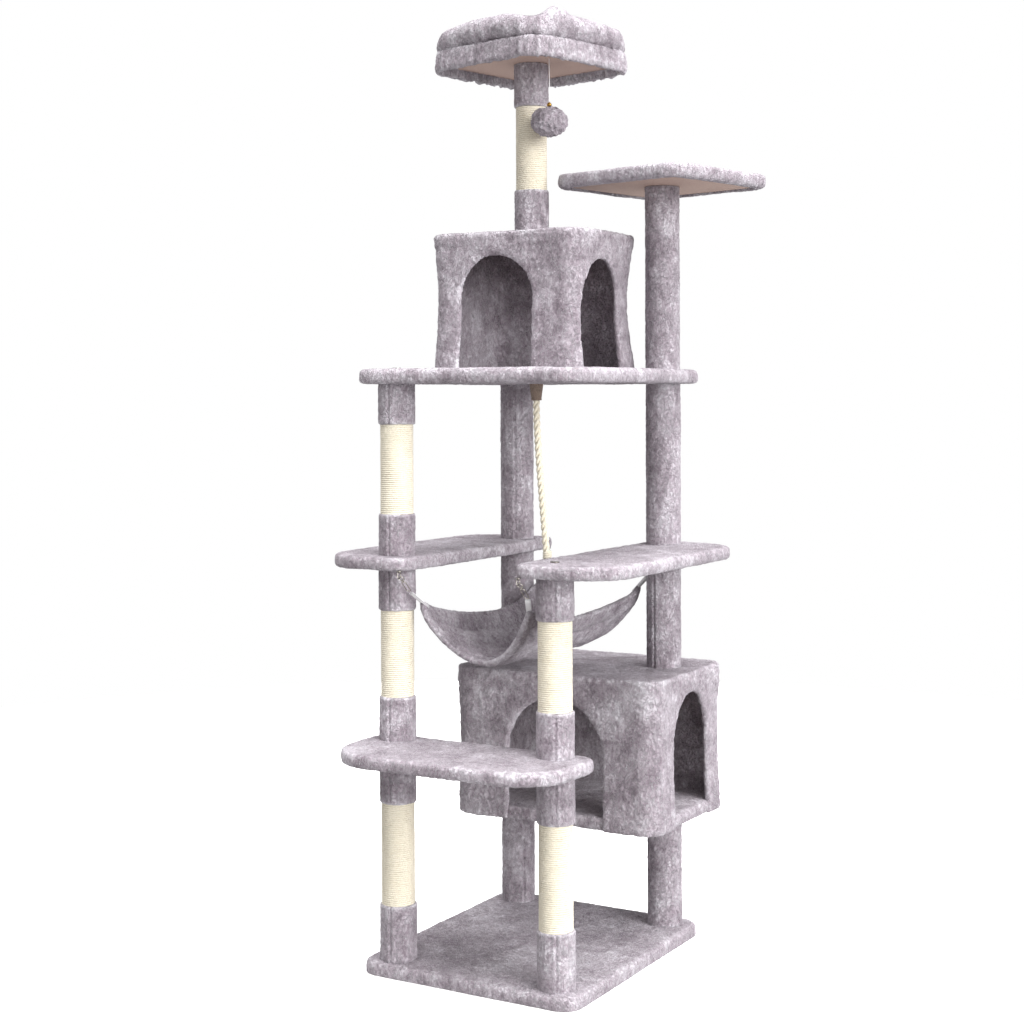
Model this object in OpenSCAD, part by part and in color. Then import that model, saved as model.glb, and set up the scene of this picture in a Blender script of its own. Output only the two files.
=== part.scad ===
// Tall cat tree: four post columns on a base, with a step, two side shelves, two houses,
// a main platform, a perch, a top bed, a hammock, a rope and a pompom.
// Origin: middle of the base's underside. +Z up, +X to the right, the front is -Y. Millimetres.

/* [Base and decks] */
// Base, left to right
base_w = 500; // [416:1:620]
// Base, front to back
base_d = 600; // [500:1:740]
// Thickness of a covered board
deck_t = 25; // [21:1:32]
// Thickness of the covered main platform
platform_t = 28; // [24:1:36]
// How far the main platform reaches past the base on each side
platform_over = 10; // [0:1:30]
// Plush fabric thickness
plush_t = 3; // [2:0.5:5]
// Corner radius of the base
base_corner = 40; // [20:1:70]
// Corner radius of the main platform
platform_corner = 50; // [20:1:90]

/* [Posts] */
// From the base's left or right edge to a post's middle
post_in_x = 63; // [52:1:76]
// From the base's front or back edge to a post's middle
post_in_y = 53; // [44:1:64]
// Cardboard tube, outside diameter
tube_d = 64; // [53:0.1:77]
// Cardboard tube, wall
tube_wall = 4; // [3:0.5:6]
// Thickness of a plush sleeve or collar on a post
sleeve_t = 5; // [4:0.5:8]
// Thickness of the sisal winding
sisal_t = 3; // [2.5:0.5:5]
// Front posts between the base and the step
front_post_h = 429; // [357:1:515]
// Front posts between the step and the side shelves
middle_post_h = 357; // [297:1:430]
// Posts between the side shelves and the main platform
upper_post_h = 357; // [337:1:430]
// Back posts between the lower house and the side shelves
house_post_h = 246; // [212:1:296]
// Post under the perch
perch_post_h = 405; // [330:1:490]
// Post under the bed
bed_post_h = 378; // [315:1:460]

/* [Step and side shelves] */
// How far the step reaches past its posts at each end
step_end = 72; // [60:1:90]
// Step, front to back
step_d = 226; // [188:1:272]
// How far the step reaches behind its posts
step_back = 44; // [42:1:60]
// Side shelf, left to right
shelf_w = 222; // [185:1:270]
// How far a side shelf reaches past its posts at each end
shelf_end = 77; // [70:1:95]
// How far a side shelf reaches inwards from its posts
shelf_in = 63; // [58:1:76]
// Radius of the large rounded corners
shelf_corner = 110; // [60:1:115]
// Radius of the small rounded corners
inner_corner = 45; // [20:1:46]

/* [Houses] */
// How far the lower house reaches left of the left post's middle
low_left = 45; // [42:1:60]
// How far the lower house reaches right of the right post's middle
low_right = 85; // [60:1:110]
// How far the lower house reaches behind the back posts' middles
low_behind = 140; // [116:1:168]
// Lower house, front to back
low_d = 355; // [296:1:426]
// Lower house, height
low_h = 322; // [268:1:387]
// Upper house, left to right
high_w = 380; // [316:1:400]
// Upper house, front to back
high_d = 288; // [240:1:320]
// Upper house, height
high_h = 300; // [250:1:360]
// Thickness of a house's wall board
wall_t = 5; // [4:0.5:8]
// Corner radius of the houses
house_corner = 45; // [32:1:56]
// Lower front doorway, width
low_front_door_w = 236; // [160:1:270]
// From the top of the lower front doorway to the roof
low_front_lintel = 50; // [40:1:90]
// Lower side doorway, width
low_side_door_w = 172; // [120:1:190]
// From the top of the lower side doorway to the roof
low_side_lintel = 40; // [34:1:90]
// Upper front doorway, width
high_front_door_w = 186; // [120:1:210]
// From the top of the upper front doorway to the roof
high_front_lintel = 49; // [40:1:90]
// Upper side doorway, width
high_side_door_w = 168; // [120:1:180]
// From the top of the upper side doorway to the roof
high_side_lintel = 59; // [40:1:90]

/* [Perch and bed] */
// Side of the square perch
perch_s = 350; // [300:1:400]
// Fabric turned under the perch's board
perch_turn = 22; // [15:1:40]
// Side of the square bed
bed_s = 340; // [300:1:380]
// Height of the bed's skirt
skirt_h = 44; // [38:1:52]
// How far the skirt hangs below the bed's board
skirt_drop = 17; // [8:1:20]
// Height of the bed's rim
rim_h = 52; // [40:1:66]
// Width of the bed's rim
rim_w = 62; // [45:1:80]
// Turn of the perch and the bed, clockwise from above
top_turn = 12; // [0:1:30]

/* [Hammock] */
// From a hook's screw eye to the hammock's corner, along the hammock
hammock_in_y = 66; // [56:1:78]
// From a hook's screw eye to the hammock's corner, across the hammock
hammock_in_x = 14; // [8:1:30]
// Drop of the end hems at their middle
hem_sag = 115; // [80:1:120]
// Drop of the long edges at their middle
edge_sag = 40; // [20:1:50]
// Thickness of the hammock cloth
cloth_t = 6; // [4:0.5:8]

/* [Toys] */
// Rope diameter
rope_d = 15; // [12:1:18]
// Pompom diameter
pompom_d = 74; // [50:1:80]
// Gap between the pompom and its post
pompom_gap = 14.5; // [10:0.5:24]
// Pompom height
pompom_h = 60; // [45:1:64]

/* [Hidden] */
$fn = 64;

// Colours
plush_c = [0.68, 0.66, 0.70];
board_c = [0.66, 0.56, 0.48];
tube_c = [0.72, 0.60, 0.45];
sisal_c = [0.93, 0.89, 0.77];
steel_c = [0.75, 0.74, 0.72];
brass_c = [0.80, 0.62, 0.25];

// Clearances
fit = 0.2;
stud_r = 4;
stud_grip = 28;
head_r = 9;
head_t = 4;
plug_h = 25;

// Levels: the underside of each deck, from the floor up
sleeve_d = tube_d + 2 * sleeve_t;
sisal_d = tube_d + 2 * sisal_t;
step_z = deck_t + front_post_h;
shelf_z = step_z + deck_t + middle_post_h;
platform_z = shelf_z + deck_t + upper_post_h;
platform_top = platform_z + platform_t;
low_roof_z = shelf_z - house_post_h;
low_z = low_roof_z - low_h;
high_roof_z = platform_top + high_h;
perch_z = platform_top + perch_post_h;
bed_z = high_roof_z + bed_post_h;
skirt_z = bed_z - skirt_drop;
rim_z = skirt_z + skirt_h;
bed_board_t = 15;

// Post columns: a and b in front, c and d at the back, e on the upper house
px = base_w / 2 - post_in_x;
py = base_d / 2 - post_in_y;
post_a = [-px, -py];
post_b = [px, -py];
post_c = [-px, py];
post_d = [px, py];

// Areas: [left, right, front, back, [radii: front left, front right, back right, back left]]
function centred(w, d, r) = [-w / 2, w / 2, -d / 2, d / 2, [r, r, r, r]];
function inset(a, t) =
    [a[0] + t, a[1] - t, a[2] + t, a[3] - t, [for (r = a[4]) max(r - t, 1)]];

base_a = centred(base_w, base_d, base_corner);
platform_a = centred(base_w + 2 * platform_over, base_d + 2 * platform_over, platform_corner);
step_shift = 6;
step_a = [step_shift - px - step_end, step_shift + px + step_end, -py + step_back - step_d, -py + step_back,
    [shelf_corner, shelf_corner, inner_corner, inner_corner]];
shelf_shift = 5;
left_shelf_a = [shelf_in - px - shelf_w, shelf_in - px, shelf_shift - py - shelf_end, shelf_shift + py + shelf_end,
    [shelf_corner, inner_corner, inner_corner, shelf_corner]];
right_shelf_a = [-left_shelf_a[1], -left_shelf_a[0], left_shelf_a[2], left_shelf_a[3],
    [inner_corner, shelf_corner, shelf_corner, inner_corner]];

// Houses: the lower one on the two back posts, the upper one on the platform
low_back = py + low_behind;
low_a = [-px - low_left, px + low_right, low_back - low_d, low_back,
    [house_corner, house_corner, house_corner, house_corner]];
high_mid = [-px + 119, py - 123];
high_a = [high_mid[0] - high_w / 2, high_mid[0] + high_w / 2,
    high_mid[1] - high_d / 2, high_mid[1] + high_d / 2,
    [house_corner, house_corner, house_corner, house_corner]];
wall_skin = 2 * plush_t + wall_t;
low_front_door_x = 27;
low_side_door_y = low_a[2] + 181;
high_front_door_x = high_mid[0] - 21;
high_side_door_y = high_a[2] + 112;
post_e = [high_mid[0], high_mid[1] - 12];

// Square tops, turned about the post that carries them
perch_a = centred(perch_s, perch_s, 46);
bed_a = centred(bed_s, bed_s, 62);

// Studs through each deck, and the posts under and over it
studs_step = [post_a, post_b];
studs_left = [post_a, post_c];
studs_right = [post_b, post_d];
studs_all = [post_a, post_b, post_c, post_d];
studs_back = [post_c, post_d];
studs_platform = [post_a, post_c, post_d];

// Post lengths: [column, underside, top]
front_spans = [[post_a, deck_t, step_z], [post_b, deck_t, step_z]];
middle_spans = [
    [post_a, step_z + deck_t, shelf_z], [post_b, step_z + deck_t, shelf_z],
    [post_a, shelf_z + deck_t, platform_z], [post_c, shelf_z + deck_t, platform_z],
    [post_d, shelf_z + deck_t, platform_z]
];
house_spans = [
    [post_c, deck_t, low_z], [post_d, deck_t, low_z],
    [post_c, low_roof_z, shelf_z], [post_d, low_roof_z, shelf_z]
];
top_spans = [[post_d, platform_top, perch_z], [post_e, high_roof_z, bed_z]];
all_spans = concat(front_spans, middle_spans, house_spans, top_spans);

// Sisal windings: [column, underside, top], with a plush collar over and under each
sisal_a1_s = [post_a, deck_t + 115, step_z - 103];
sisal_b1_s = [post_b, deck_t + 115, step_z - 103];
sisal_a2_s = [post_a, step_z + deck_t + 91, shelf_z - 86];
sisal_b2_s = [post_b, step_z + deck_t + 91, shelf_z - 86];
sisal_a3_s = [post_a, shelf_z + deck_t + 86, platform_z - 84];
sisal_e1_s = [post_e, high_roof_z + 98, bed_z - 94];

// Hammock corners and hooks
hammock_z = shelf_z - 67;
eye_x = px - 47;
eye_y = py + 63;
eye_r = 6;
eye_wire = 1.2;
eye_z = shelf_z - 9;
hook_l = 45;
hook_wire = 1.1;
// A hook leans towards the hammock's middle along its length, never sideways
hook_lean = 46;
lean_p = [0, -sin(hook_lean), -cos(hook_lean)];
// Where a hook turns, on the wire of its eye, and where it ends
pivot_p = [eye_x, eye_y, eye_z] + eye_r * lean_p;
hook_end = pivot_p + hook_l * lean_p;
corner_p = [eye_x - hammock_in_x, eye_y - hammock_in_y, hammock_z];
ends = [[-1, -1], [1, -1], [-1, 1], [1, 1]];

// Toys
pompom_way = -34;
pompom_off = sleeve_d / 2 + pompom_d / 2 + pompom_gap;
pompom_p = [post_e[0] + pompom_off * cos(pompom_way), post_e[1] + pompom_off * sin(pompom_way)];
pompom_z = bed_z - 138;
bell_z = pompom_z + pompom_h / 2 + 6.5;
bell_r = 5.5;
string_r = 0.9;
string_gap = 0.6;
rope_top = platform_z - 37;
// Points along the rope, counted down from the sleeve's mouth
rope_route = [
    [9, -5, 0], [9, -5, 30], [11, -5, 70], [14, -5, 115], [18, -5, 165],
    [23, -5, 220], [28, -5, 275], [32, -5, 320], [34, -5, 340]
];
rope_points = [for (p = rope_route) [p[0], p[1], rope_top - p[2]]];
rope_sides = 10;

// ---- Shared shapes ----

// A rectangle with four rounded corners
module area(a) {
    r = a[4];
    polygon([
        [a[0] + r[0], a[2]], [a[1] - r[1], a[2]], [a[1], a[2] + r[1]], [a[1], a[3] - r[2]],
        [a[1] - r[2], a[3]], [a[0] + r[3], a[3]], [a[0], a[3] - r[3]], [a[0], a[2] + r[0]]
    ]);
    translate([a[0] + r[0], a[2] + r[0]]) circle(r[0]);
    translate([a[1] - r[1], a[2] + r[1]]) circle(r[1]);
    translate([a[1] - r[2], a[3] - r[2]]) circle(r[2]);
    translate([a[0] + r[3], a[3] - r[3]]) circle(r[3]);
}

module slab(a, z0, z1) {
    translate([0, 0, z0]) linear_extrude(z1 - z0) area(a);
}

module stud_holes(points, z0, z1, r) {
    for (p = points)
        translate([p[0], p[1], z0 - 1]) cylinder(r = r, h = z1 - z0 + 2);
}

// The board inside a deck, drilled for its studs
module deck_board(a, z, t, studs) {
    difference() {
        slab(inset(a, plush_t), z + plush_t, z + t - plush_t);
        stud_holes(studs, z, z + t, stud_r + fit);
    }
}

// The plush that wraps a deck's board all round
module deck_cover(a, z, t, studs) {
    difference() {
        slab(a, z, z + t);
        slab(inset(a, plush_t), z + plush_t, z + t - plush_t);
        stud_holes(studs, z, z + t, stud_r + fit);
    }
}

module ring(p, z0, z1, r_out, r_in) {
    translate([p[0], p[1], z0]) difference() {
        cylinder(r = r_out, h = z1 - z0);
        translate([0, 0, -1]) cylinder(r = r_in, h = z1 - z0 + 2);
    }
}

module tubes(spans) {
    color(tube_c) for (s = spans)
        ring(s[0], s[1], s[2], tube_d / 2, tube_d / 2 - tube_wall);
}

module sleeve(p, z0, z1) {
    color(plush_c) ring(p, z0, z1, sleeve_d / 2, tube_d / 2 + fit);
}

module sisal(s) {
    color(sisal_c) ring(s[0], s[1], s[2], sisal_d / 2, tube_d / 2 + fit);
}

// The two plush collars of a post, under and over its sisal
module collars(s, z0, z1) {
    color(plush_c) {
        ring(s[0], z0, s[1], sleeve_d / 2, tube_d / 2 + fit);
        ring(s[0], s[2], z1, sleeve_d / 2, tube_d / 2 + fit);
    }
}

// A doorway's outline: straight sides under half an ellipse
function door_points(w, h, rise) = concat(
    [[w / 2, 0]],
    [for (i = [0:24]) [w / 2 * cos(i * 7.5), h - rise + rise * sin(i * 7.5)]],
    [[-w / 2, 0]]
);

// A cutter for a doorway in a front wall, from z down through the wall's foot
module front_door(x, y, z, w, h, rise, t) {
    translate([x, y + t, z]) rotate([90, 0, 0])
        linear_extrude(2 * t) polygon(door_points(w, h, rise));
}

module side_door(x, y, z, w, h, rise, t) {
    translate([x - t, y, z]) rotate([90, 0, 90])
        linear_extrude(2 * t) polygon(door_points(w, h, rise));
}

// The two doorways of the lower house; grow widens them for the board under the plush
module low_doors(grow) {
    reach = house_corner;
    front_door(low_front_door_x, low_a[2], low_z - 1, low_front_door_w + 2 * grow,
        low_h - low_front_lintel + 1 + grow, low_front_door_w / 2, reach);
    side_door(low_a[1], low_side_door_y, low_z - 1, low_side_door_w + 2 * grow,
        low_h - low_side_lintel + 1 + grow, 120, reach);
}

module high_doors(grow) {
    reach = house_corner;
    front_door(high_front_door_x, high_a[2], platform_top - 1, high_front_door_w + 2 * grow,
        high_h - high_front_lintel + 1 + grow, 97, reach);
    side_door(high_a[1], high_side_door_y, platform_top - 1, high_side_door_w + 2 * grow,
        high_h - high_side_lintel + 1 + grow, 100, reach);
}

// A house's wall board: a ring with a plush skin's room on both sides
module wall_board(a, z0, z1) {
    difference() {
        slab(inset(a, plush_t), z0 + plush_t, z1 - plush_t);
        slab(inset(a, plush_t + wall_t), z0, z1);
    }
}

module wall_cover(a, z0, z1) {
    difference() {
        slab(a, z0, z1);
        slab(inset(a, wall_skin), z0 - 1, z1 + 1);
    }
}

// Everything about post e or d that is turned with the square tops
module turned(p) {
    translate([p[0], p[1], 0]) rotate(-top_turn) children();
}

// ---- Decks ----

module base_board() { color(board_c) difference() {
    slab(inset(base_a, plush_t), 0, deck_t - plush_t);
    stud_holes(studs_all, 0, deck_t, stud_r + fit);
    stud_holes(studs_all, -head_t, head_t + fit, head_r + 1);
} }

module base_cover() { color(plush_c) difference() {
    slab(base_a, 0, deck_t);
    slab(inset(base_a, plush_t), -1, deck_t - plush_t);
    stud_holes(studs_all, 0, deck_t, stud_r + fit);
} }

module step_board() { color(board_c) deck_board(step_a, step_z, deck_t, studs_step); }
module step_cover() { color(plush_c) deck_cover(step_a, step_z, deck_t, studs_step); }
module left_shelf_board() { color(board_c) deck_board(left_shelf_a, shelf_z, deck_t, studs_left); }
module left_shelf_cover() { color(plush_c) deck_cover(left_shelf_a, shelf_z, deck_t, studs_left); }
module right_shelf_board() { color(board_c) deck_board(right_shelf_a, shelf_z, deck_t, studs_right); }
module right_shelf_cover() { color(plush_c) deck_cover(right_shelf_a, shelf_z, deck_t, studs_right); }
module platform_board() {
    color(board_c) deck_board(platform_a, platform_z, platform_t, studs_platform);
}
module platform_cover() {
    color(plush_c) deck_cover(platform_a, platform_z, platform_t, studs_platform);
}

// ---- Lower house ----

low_inner = inset(low_a, wall_skin + fit);

module low_house_floor_board() { color(board_c) deck_board(low_inner, low_z, deck_t, studs_back); }
module low_house_floor_cover() { color(plush_c) deck_cover(low_inner, low_z, deck_t, studs_back); }
module low_house_roof_board() { color(board_c) difference() {
    slab(low_inner, low_roof_z - deck_t + plush_t, low_roof_z - plush_t);
    stud_holes(studs_back, low_roof_z - deck_t, low_roof_z, stud_r + fit);
} }
module low_house_roof_cover() { color(plush_c) difference() {
    slab(low_a, low_roof_z - plush_t, low_roof_z);
    stud_holes(studs_back, low_roof_z - deck_t, low_roof_z, stud_r + fit);
} }
module low_house_wall() { color(tube_c) difference() {
    wall_board(low_a, low_z, low_roof_z - plush_t);
    low_doors(plush_t);
} }
module low_house_wall_cover() { color(plush_c) difference() {
    wall_cover(low_a, low_z, low_roof_z - plush_t);
    difference() {
        wall_board(low_a, low_z, low_roof_z - plush_t);
        low_doors(plush_t);
    }
    low_doors(0);
} }

// ---- Upper house ----

high_inner = inset(high_a, wall_skin + fit);

module high_house_roof_board() { color(board_c) difference() {
    slab(high_inner, high_roof_z - deck_t + plush_t, high_roof_z - plush_t);
    stud_holes([post_e], high_roof_z - deck_t, high_roof_z, stud_r + fit);
} }
module high_house_roof_cover() { color(plush_c) difference() {
    slab(high_a, high_roof_z - plush_t, high_roof_z);
    stud_holes([post_e], high_roof_z - deck_t, high_roof_z, stud_r + fit);
} }
module high_house_wall() { color(tube_c) difference() {
    wall_board(high_a, platform_top, high_roof_z - plush_t);
    high_doors(plush_t);
} }
module high_house_wall_cover() { color(plush_c) difference() {
    wall_cover(high_a, platform_top, high_roof_z - plush_t);
    difference() {
        wall_board(high_a, platform_top, high_roof_z - plush_t);
        high_doors(plush_t);
    }
    high_doors(0);
} }

// ---- Perch and bed ----

module perch_board() { color(board_c) turned(post_d) difference() {
    slab(inset(perch_a, plush_t), perch_z, perch_z + deck_t - plush_t);
    stud_holes([[0, 0]], perch_z, perch_z + deck_t / 2, stud_r + fit);
} }
module perch_cover() { color(plush_c) turned(post_d) difference() {
    slab(perch_a, perch_z - plush_t, perch_z + deck_t);
    slab(inset(perch_a, plush_t), perch_z, perch_z + deck_t - plush_t);
    slab(inset(perch_a, perch_turn), perch_z - deck_t, perch_z + plush_t);
} }

module bed_board() { color(board_c) turned(post_e) difference() {
    slab(inset(bed_a, 2 * plush_t + 6), bed_z, bed_z + bed_board_t);
    stud_holes([[0, 0]], bed_z, bed_z + bed_board_t / 2, stud_r + fit);
} }
module bed_skirt() { color(plush_c) turned(post_e) difference() {
    slab(inset(bed_a, 4), skirt_z, rim_z);
    slab(inset(bed_a, 2 * plush_t + 6), bed_z, bed_z + bed_board_t);
    slab(inset(bed_a, 2 * plush_t + 10), skirt_z - 1, bed_z + 1);
} }
module bed_rim() { color(plush_c) turned(post_e) difference() {
    slab(bed_a, rim_z, rim_z + rim_h);
    slab(inset(bed_a, rim_w), rim_z - 1, rim_z + rim_h + 1);
} }
module bed_lining() { color(plush_c) turned(post_e)
    slab(inset(bed_a, rim_w + fit), rim_z, rim_z + rim_h * 0.4);
}

// ---- Posts ----

module tubes_front() { tubes(front_spans); }
module tubes_middle() { tubes(middle_spans); }
module tubes_house() { tubes(house_spans); }
module tubes_top() { tubes(top_spans); }
module sleeve_c1() { sleeve(post_c, deck_t, low_z); }
module sleeve_c2() { sleeve(post_c, low_roof_z, shelf_z); }
module sleeve_c3() { sleeve(post_c, shelf_z + deck_t, platform_z); }
module sleeve_d1() { sleeve(post_d, deck_t, low_z); }
module sleeve_d2() { sleeve(post_d, low_roof_z, shelf_z); }
module sleeve_d3() { sleeve(post_d, shelf_z + deck_t, platform_z); }
module sleeve_d4() { sleeve(post_d, platform_top, perch_z); }
module sisal_a1() { sisal(sisal_a1_s); }
module sisal_a2() { sisal(sisal_a2_s); }
module sisal_a3() { sisal(sisal_a3_s); }
module sisal_b1() { sisal(sisal_b1_s); }
module sisal_b2() { sisal(sisal_b2_s); }
module sisal_e1() { sisal(sisal_e1_s); }
module collars_a() {
    collars(sisal_a1_s, deck_t, step_z);
    collars(sisal_a2_s, step_z + deck_t, shelf_z);
    collars(sisal_a3_s, shelf_z + deck_t, platform_z);
}
module collars_b() {
    collars(sisal_b1_s, deck_t, step_z);
    collars(sisal_b2_s, step_z + deck_t, shelf_z);
}
module collars_e() { collars(sisal_e1_s, high_roof_z, bed_z); }

// A turned plug in both ends of every tube, bored for its stud
module post_plugs() {
    color(board_c) for (s = all_spans) for (z = [s[1], s[2] - plug_h])
        ring(s[0], z, z + plug_h, tube_d / 2 - tube_wall - fit, stud_r + fit);
}

// A plain stud through a deck, or a bolt whose head is at one end
module stud(p, z0, z1) { translate([p[0], p[1], z0]) cylinder(r = stud_r, h = z1 - z0); }
module head(p, z) { translate([p[0], p[1], z]) cylinder(r = head_r, h = head_t); }

module post_studs() { color(steel_c) {
    for (p = studs_all) {
        stud(p, 0, deck_t + stud_grip);
        head(p, 0);
    }
    for (p = studs_step) stud(p, step_z - stud_grip, step_z + deck_t + stud_grip);
    for (p = [post_a, post_c, post_d])
        stud(p, shelf_z - stud_grip, shelf_z + deck_t + stud_grip);
    stud(post_b, shelf_z - stud_grip, shelf_z + deck_t);
    head(post_b, shelf_z + deck_t);
    for (p = [post_a, post_c]) {
        stud(p, platform_z - stud_grip, platform_top);
        head(p, platform_top);
    }
    stud(post_d, platform_z - stud_grip, platform_top + stud_grip);
    for (p = studs_back) {
        stud(p, low_z - stud_grip, low_z + deck_t);
        head(p, low_z + deck_t);
        stud(p, low_roof_z - deck_t + plush_t, low_roof_z + stud_grip);
        head(p, low_roof_z - deck_t + plush_t - head_t);
    }
    stud(post_e, high_roof_z - deck_t + plush_t, high_roof_z + stud_grip);
    head(post_e, high_roof_z - deck_t + plush_t - head_t);
    stud(post_d, perch_z - stud_grip, perch_z + deck_t / 2);
    stud(post_e, bed_z - stud_grip, bed_z + bed_board_t / 2);
} }

// ---- Hammock ----

// The sagging cloth: u runs across it and v along it, both from -1 to 1
hammock_pinch = 25;
hem_pull = 29;
belly = 85;
function hammock_p(u, v, up) = [
    u * (corner_p[0] - hammock_pinch * (1 - v * v)),
    v * (corner_p[1] - hem_pull * (1 - u * u)),
    hammock_z - edge_sag * (1 - v * v)
        - (1 - u * u) * (hem_sag - (hem_sag - belly) * (1 - v * v)) + up
];
hu = 14;
hv = 20;
function hammock_i(i, j, s) = s * (hu + 1) * (hv + 1) + j * (hu + 1) + i;

module hammock_cloth() { color(plush_c)
    polyhedron(
        points = [for (s = [0, 1]) for (j = [0:hv]) for (i = [0:hu])
            hammock_p(2 * i / hu - 1, 2 * j / hv - 1, s * cloth_t * 1.4 - cloth_t)],
        faces = concat(
            [for (j = [0:hv - 1]) for (i = [0:hu - 1]) for (k = [0, 1]) k == 0
                ? [hammock_i(i, j, 0), hammock_i(i + 1, j, 0), hammock_i(i + 1, j + 1, 0)]
                : [hammock_i(i, j, 0), hammock_i(i + 1, j + 1, 0), hammock_i(i, j + 1, 0)]],
            [for (j = [0:hv - 1]) for (i = [0:hu - 1]) for (k = [0, 1]) k == 0
                ? [hammock_i(i, j, 1), hammock_i(i + 1, j + 1, 1), hammock_i(i + 1, j, 1)]
                : [hammock_i(i, j, 1), hammock_i(i, j + 1, 1), hammock_i(i + 1, j + 1, 1)]],
            [for (i = [0:hu - 1])
                [hammock_i(i, 0, 0), hammock_i(i, 0, 1), hammock_i(i + 1, 0, 1), hammock_i(i + 1, 0, 0)]],
            [for (i = [0:hu - 1])
                [hammock_i(i, hv, 0), hammock_i(i + 1, hv, 0), hammock_i(i + 1, hv, 1), hammock_i(i, hv, 1)]],
            [for (j = [0:hv - 1])
                [hammock_i(0, j, 0), hammock_i(0, j + 1, 0), hammock_i(0, j + 1, 1), hammock_i(0, j, 1)]],
            [for (j = [0:hv - 1])
                [hammock_i(hu, j, 0), hammock_i(hu, j, 1), hammock_i(hu, j + 1, 1), hammock_i(hu, j + 1, 0)]]
        ),
        convexity = 6
    );
}

// A flat bar of webbing from p to q
module webbing(p, q, w, t) {
    d = q - p;
    flat = norm([d[0], d[1]]);
    translate(p) rotate([0, 0, atan2(d[1], d[0])]) rotate([0, atan2(flat, d[2]), 0])
        translate([-t / 2, -w / 2, 0]) cube([t, w, norm(d)]);
}

strap_w = 14;
strap_t = 3;
strap_gap = 4.5;
module hammock_straps() { color("white") for (e = ends) {
    p = [e[0] * hook_end[0], e[1] * hook_end[1], hook_end[2]];
    q = [e[0] * corner_p[0], e[1] * corner_p[1], corner_p[2]];
    d = (q - p) / norm(q - p);
    webbing(p + d * strap_gap, q - d * 2, strap_w, strap_t);
} }

// A wire ring around Y; turn less than 360 leaves an open bow
module bow(r, wire, turn) {
    rotate([90, 0, 0]) rotate_extrude(angle = turn, $fn = 32) translate([r, 0]) circle(wire, $fn = 16);
}

// A swivel snap hook along -Z from its turning point: ring, barrel and long loop
hook_ring_r = 6.5;
hook_loop_r = 5;
barrel_r = 2.4;
barrel_h = 5.4;
module snap_hook() {
    ring_z = hook_wire + eye_wire + 0.5 - hook_ring_r;
    barrel_z = ring_z - hook_ring_r - barrel_h + hook_wire / 2;
    loop_top = barrel_z - hook_loop_r + hook_wire / 2;
    loop_end = -hook_l + hook_loop_r;
    translate([0, 0, ring_z]) bow(hook_ring_r, hook_wire, 360);
    translate([0, 0, barrel_z]) cylinder(r = barrel_r, h = barrel_h, $fn = 32);
    translate([0, 0, loop_top]) bow(hook_loop_r, hook_wire, 180);
    translate([0, 0, loop_end]) rotate([0, 180, 0]) bow(hook_loop_r, hook_wire, 180);
    for (x = [-hook_loop_r, hook_loop_r])
        translate([x, 0, loop_end]) cylinder(r = hook_wire, h = loop_top - loop_end, $fn = 16);
}

// e gives the corner: left or right, front or back
module placed_hook(e) {
    color(steel_c) translate([e[0] * pivot_p[0], e[1] * pivot_p[1], pivot_p[2]])
        rotate([-e[1] * hook_lean, 0, 0]) snap_hook();
}

module hook_front_left() { placed_hook(ends[0]); }
module hook_front_right() { placed_hook(ends[1]); }
module hook_back_left() { placed_hook(ends[2]); }
module hook_back_right() { placed_hook(ends[3]); }

// Screw eyes under the side shelves: a flange, a stem and a ring
module hammock_eyes() { color(steel_c) for (e = ends) translate([e[0] * eye_x, e[1] * eye_y, 0]) {
    translate([0, 0, shelf_z - 1.5]) cylinder(r = 6, h = 1.5, $fn = 32);
    translate([0, 0, eye_z + eye_r]) cylinder(r = 1.6, h = shelf_z - 1 - eye_z - eye_r, $fn = 24);
    translate([0, 0, eye_z]) rotate(90) bow(eye_r, eye_wire, 360);
} }

// ---- Toys ----

module pompom_string() { color("white")
    translate([pompom_p[0], pompom_p[1], bell_z + bell_r + string_gap])
        cylinder(r = string_r, h = bed_z - 1 - bell_z - bell_r - string_gap, $fn = 16);
}
module pompom_bell() { color(brass_c)
    translate([pompom_p[0], pompom_p[1], bell_z]) sphere(bell_r, $fn = 32);
}
// An oblate ball: a turned half ellipse
module pompom_ball() { color(plush_c)
    translate([pompom_p[0], pompom_p[1], pompom_z]) rotate_extrude($fn = 48)
        polygon([for (i = [0:24])
            [pompom_d / 2 * sin(i * 7.5), pompom_h / 2 * cos(i * 7.5)]]);
}

rope_bore = rope_d / 2 + 1.5;
module rope_sleeve() { color([0.50, 0.42, 0.38])
    translate([rope_points[0][0], rope_points[0][1], rope_top]) difference() {
        cylinder(r1 = rope_bore + 2, r2 = rope_bore + 7, h = platform_z - rope_top);
        translate([0, 0, -1]) cylinder(r = rope_bore, h = platform_z - rope_top - 2);
    }
}

// One ring of the rope's tube around a point, square to the rope's own direction
function along(i) = let (n = len(rope_points) - 1,
    d = rope_points[min(i + 1, n)] - rope_points[max(i - 1, 0)]) d / norm(d);
function rope_ring(i) = let (t = along(i), y = [0, 1, 0], x = cross(y, t))
    [for (k = [0:rope_sides - 1]) let (a = 360 * k / rope_sides)
        rope_points[i] + rope_d / 2 * (cos(a) * x / norm(x) + sin(a) * y)];

module rope() { color(sisal_c)
    polyhedron(
        points = [for (i = [0:len(rope_points) - 1]) each rope_ring(i)],
        faces = concat(
            [[for (k = [0:rope_sides - 1]) k]],
            [for (i = [0:len(rope_points) - 2]) for (k = [0:rope_sides - 1])
                let (a = i * rope_sides + k, b = i * rope_sides + (k + 1) % rope_sides)
                [a, a + rope_sides, b + rope_sides, b]],
            [[for (k = [rope_sides - 1:-1:0]) (len(rope_points) - 1) * rope_sides + k]]
        )
    );
}

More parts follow.
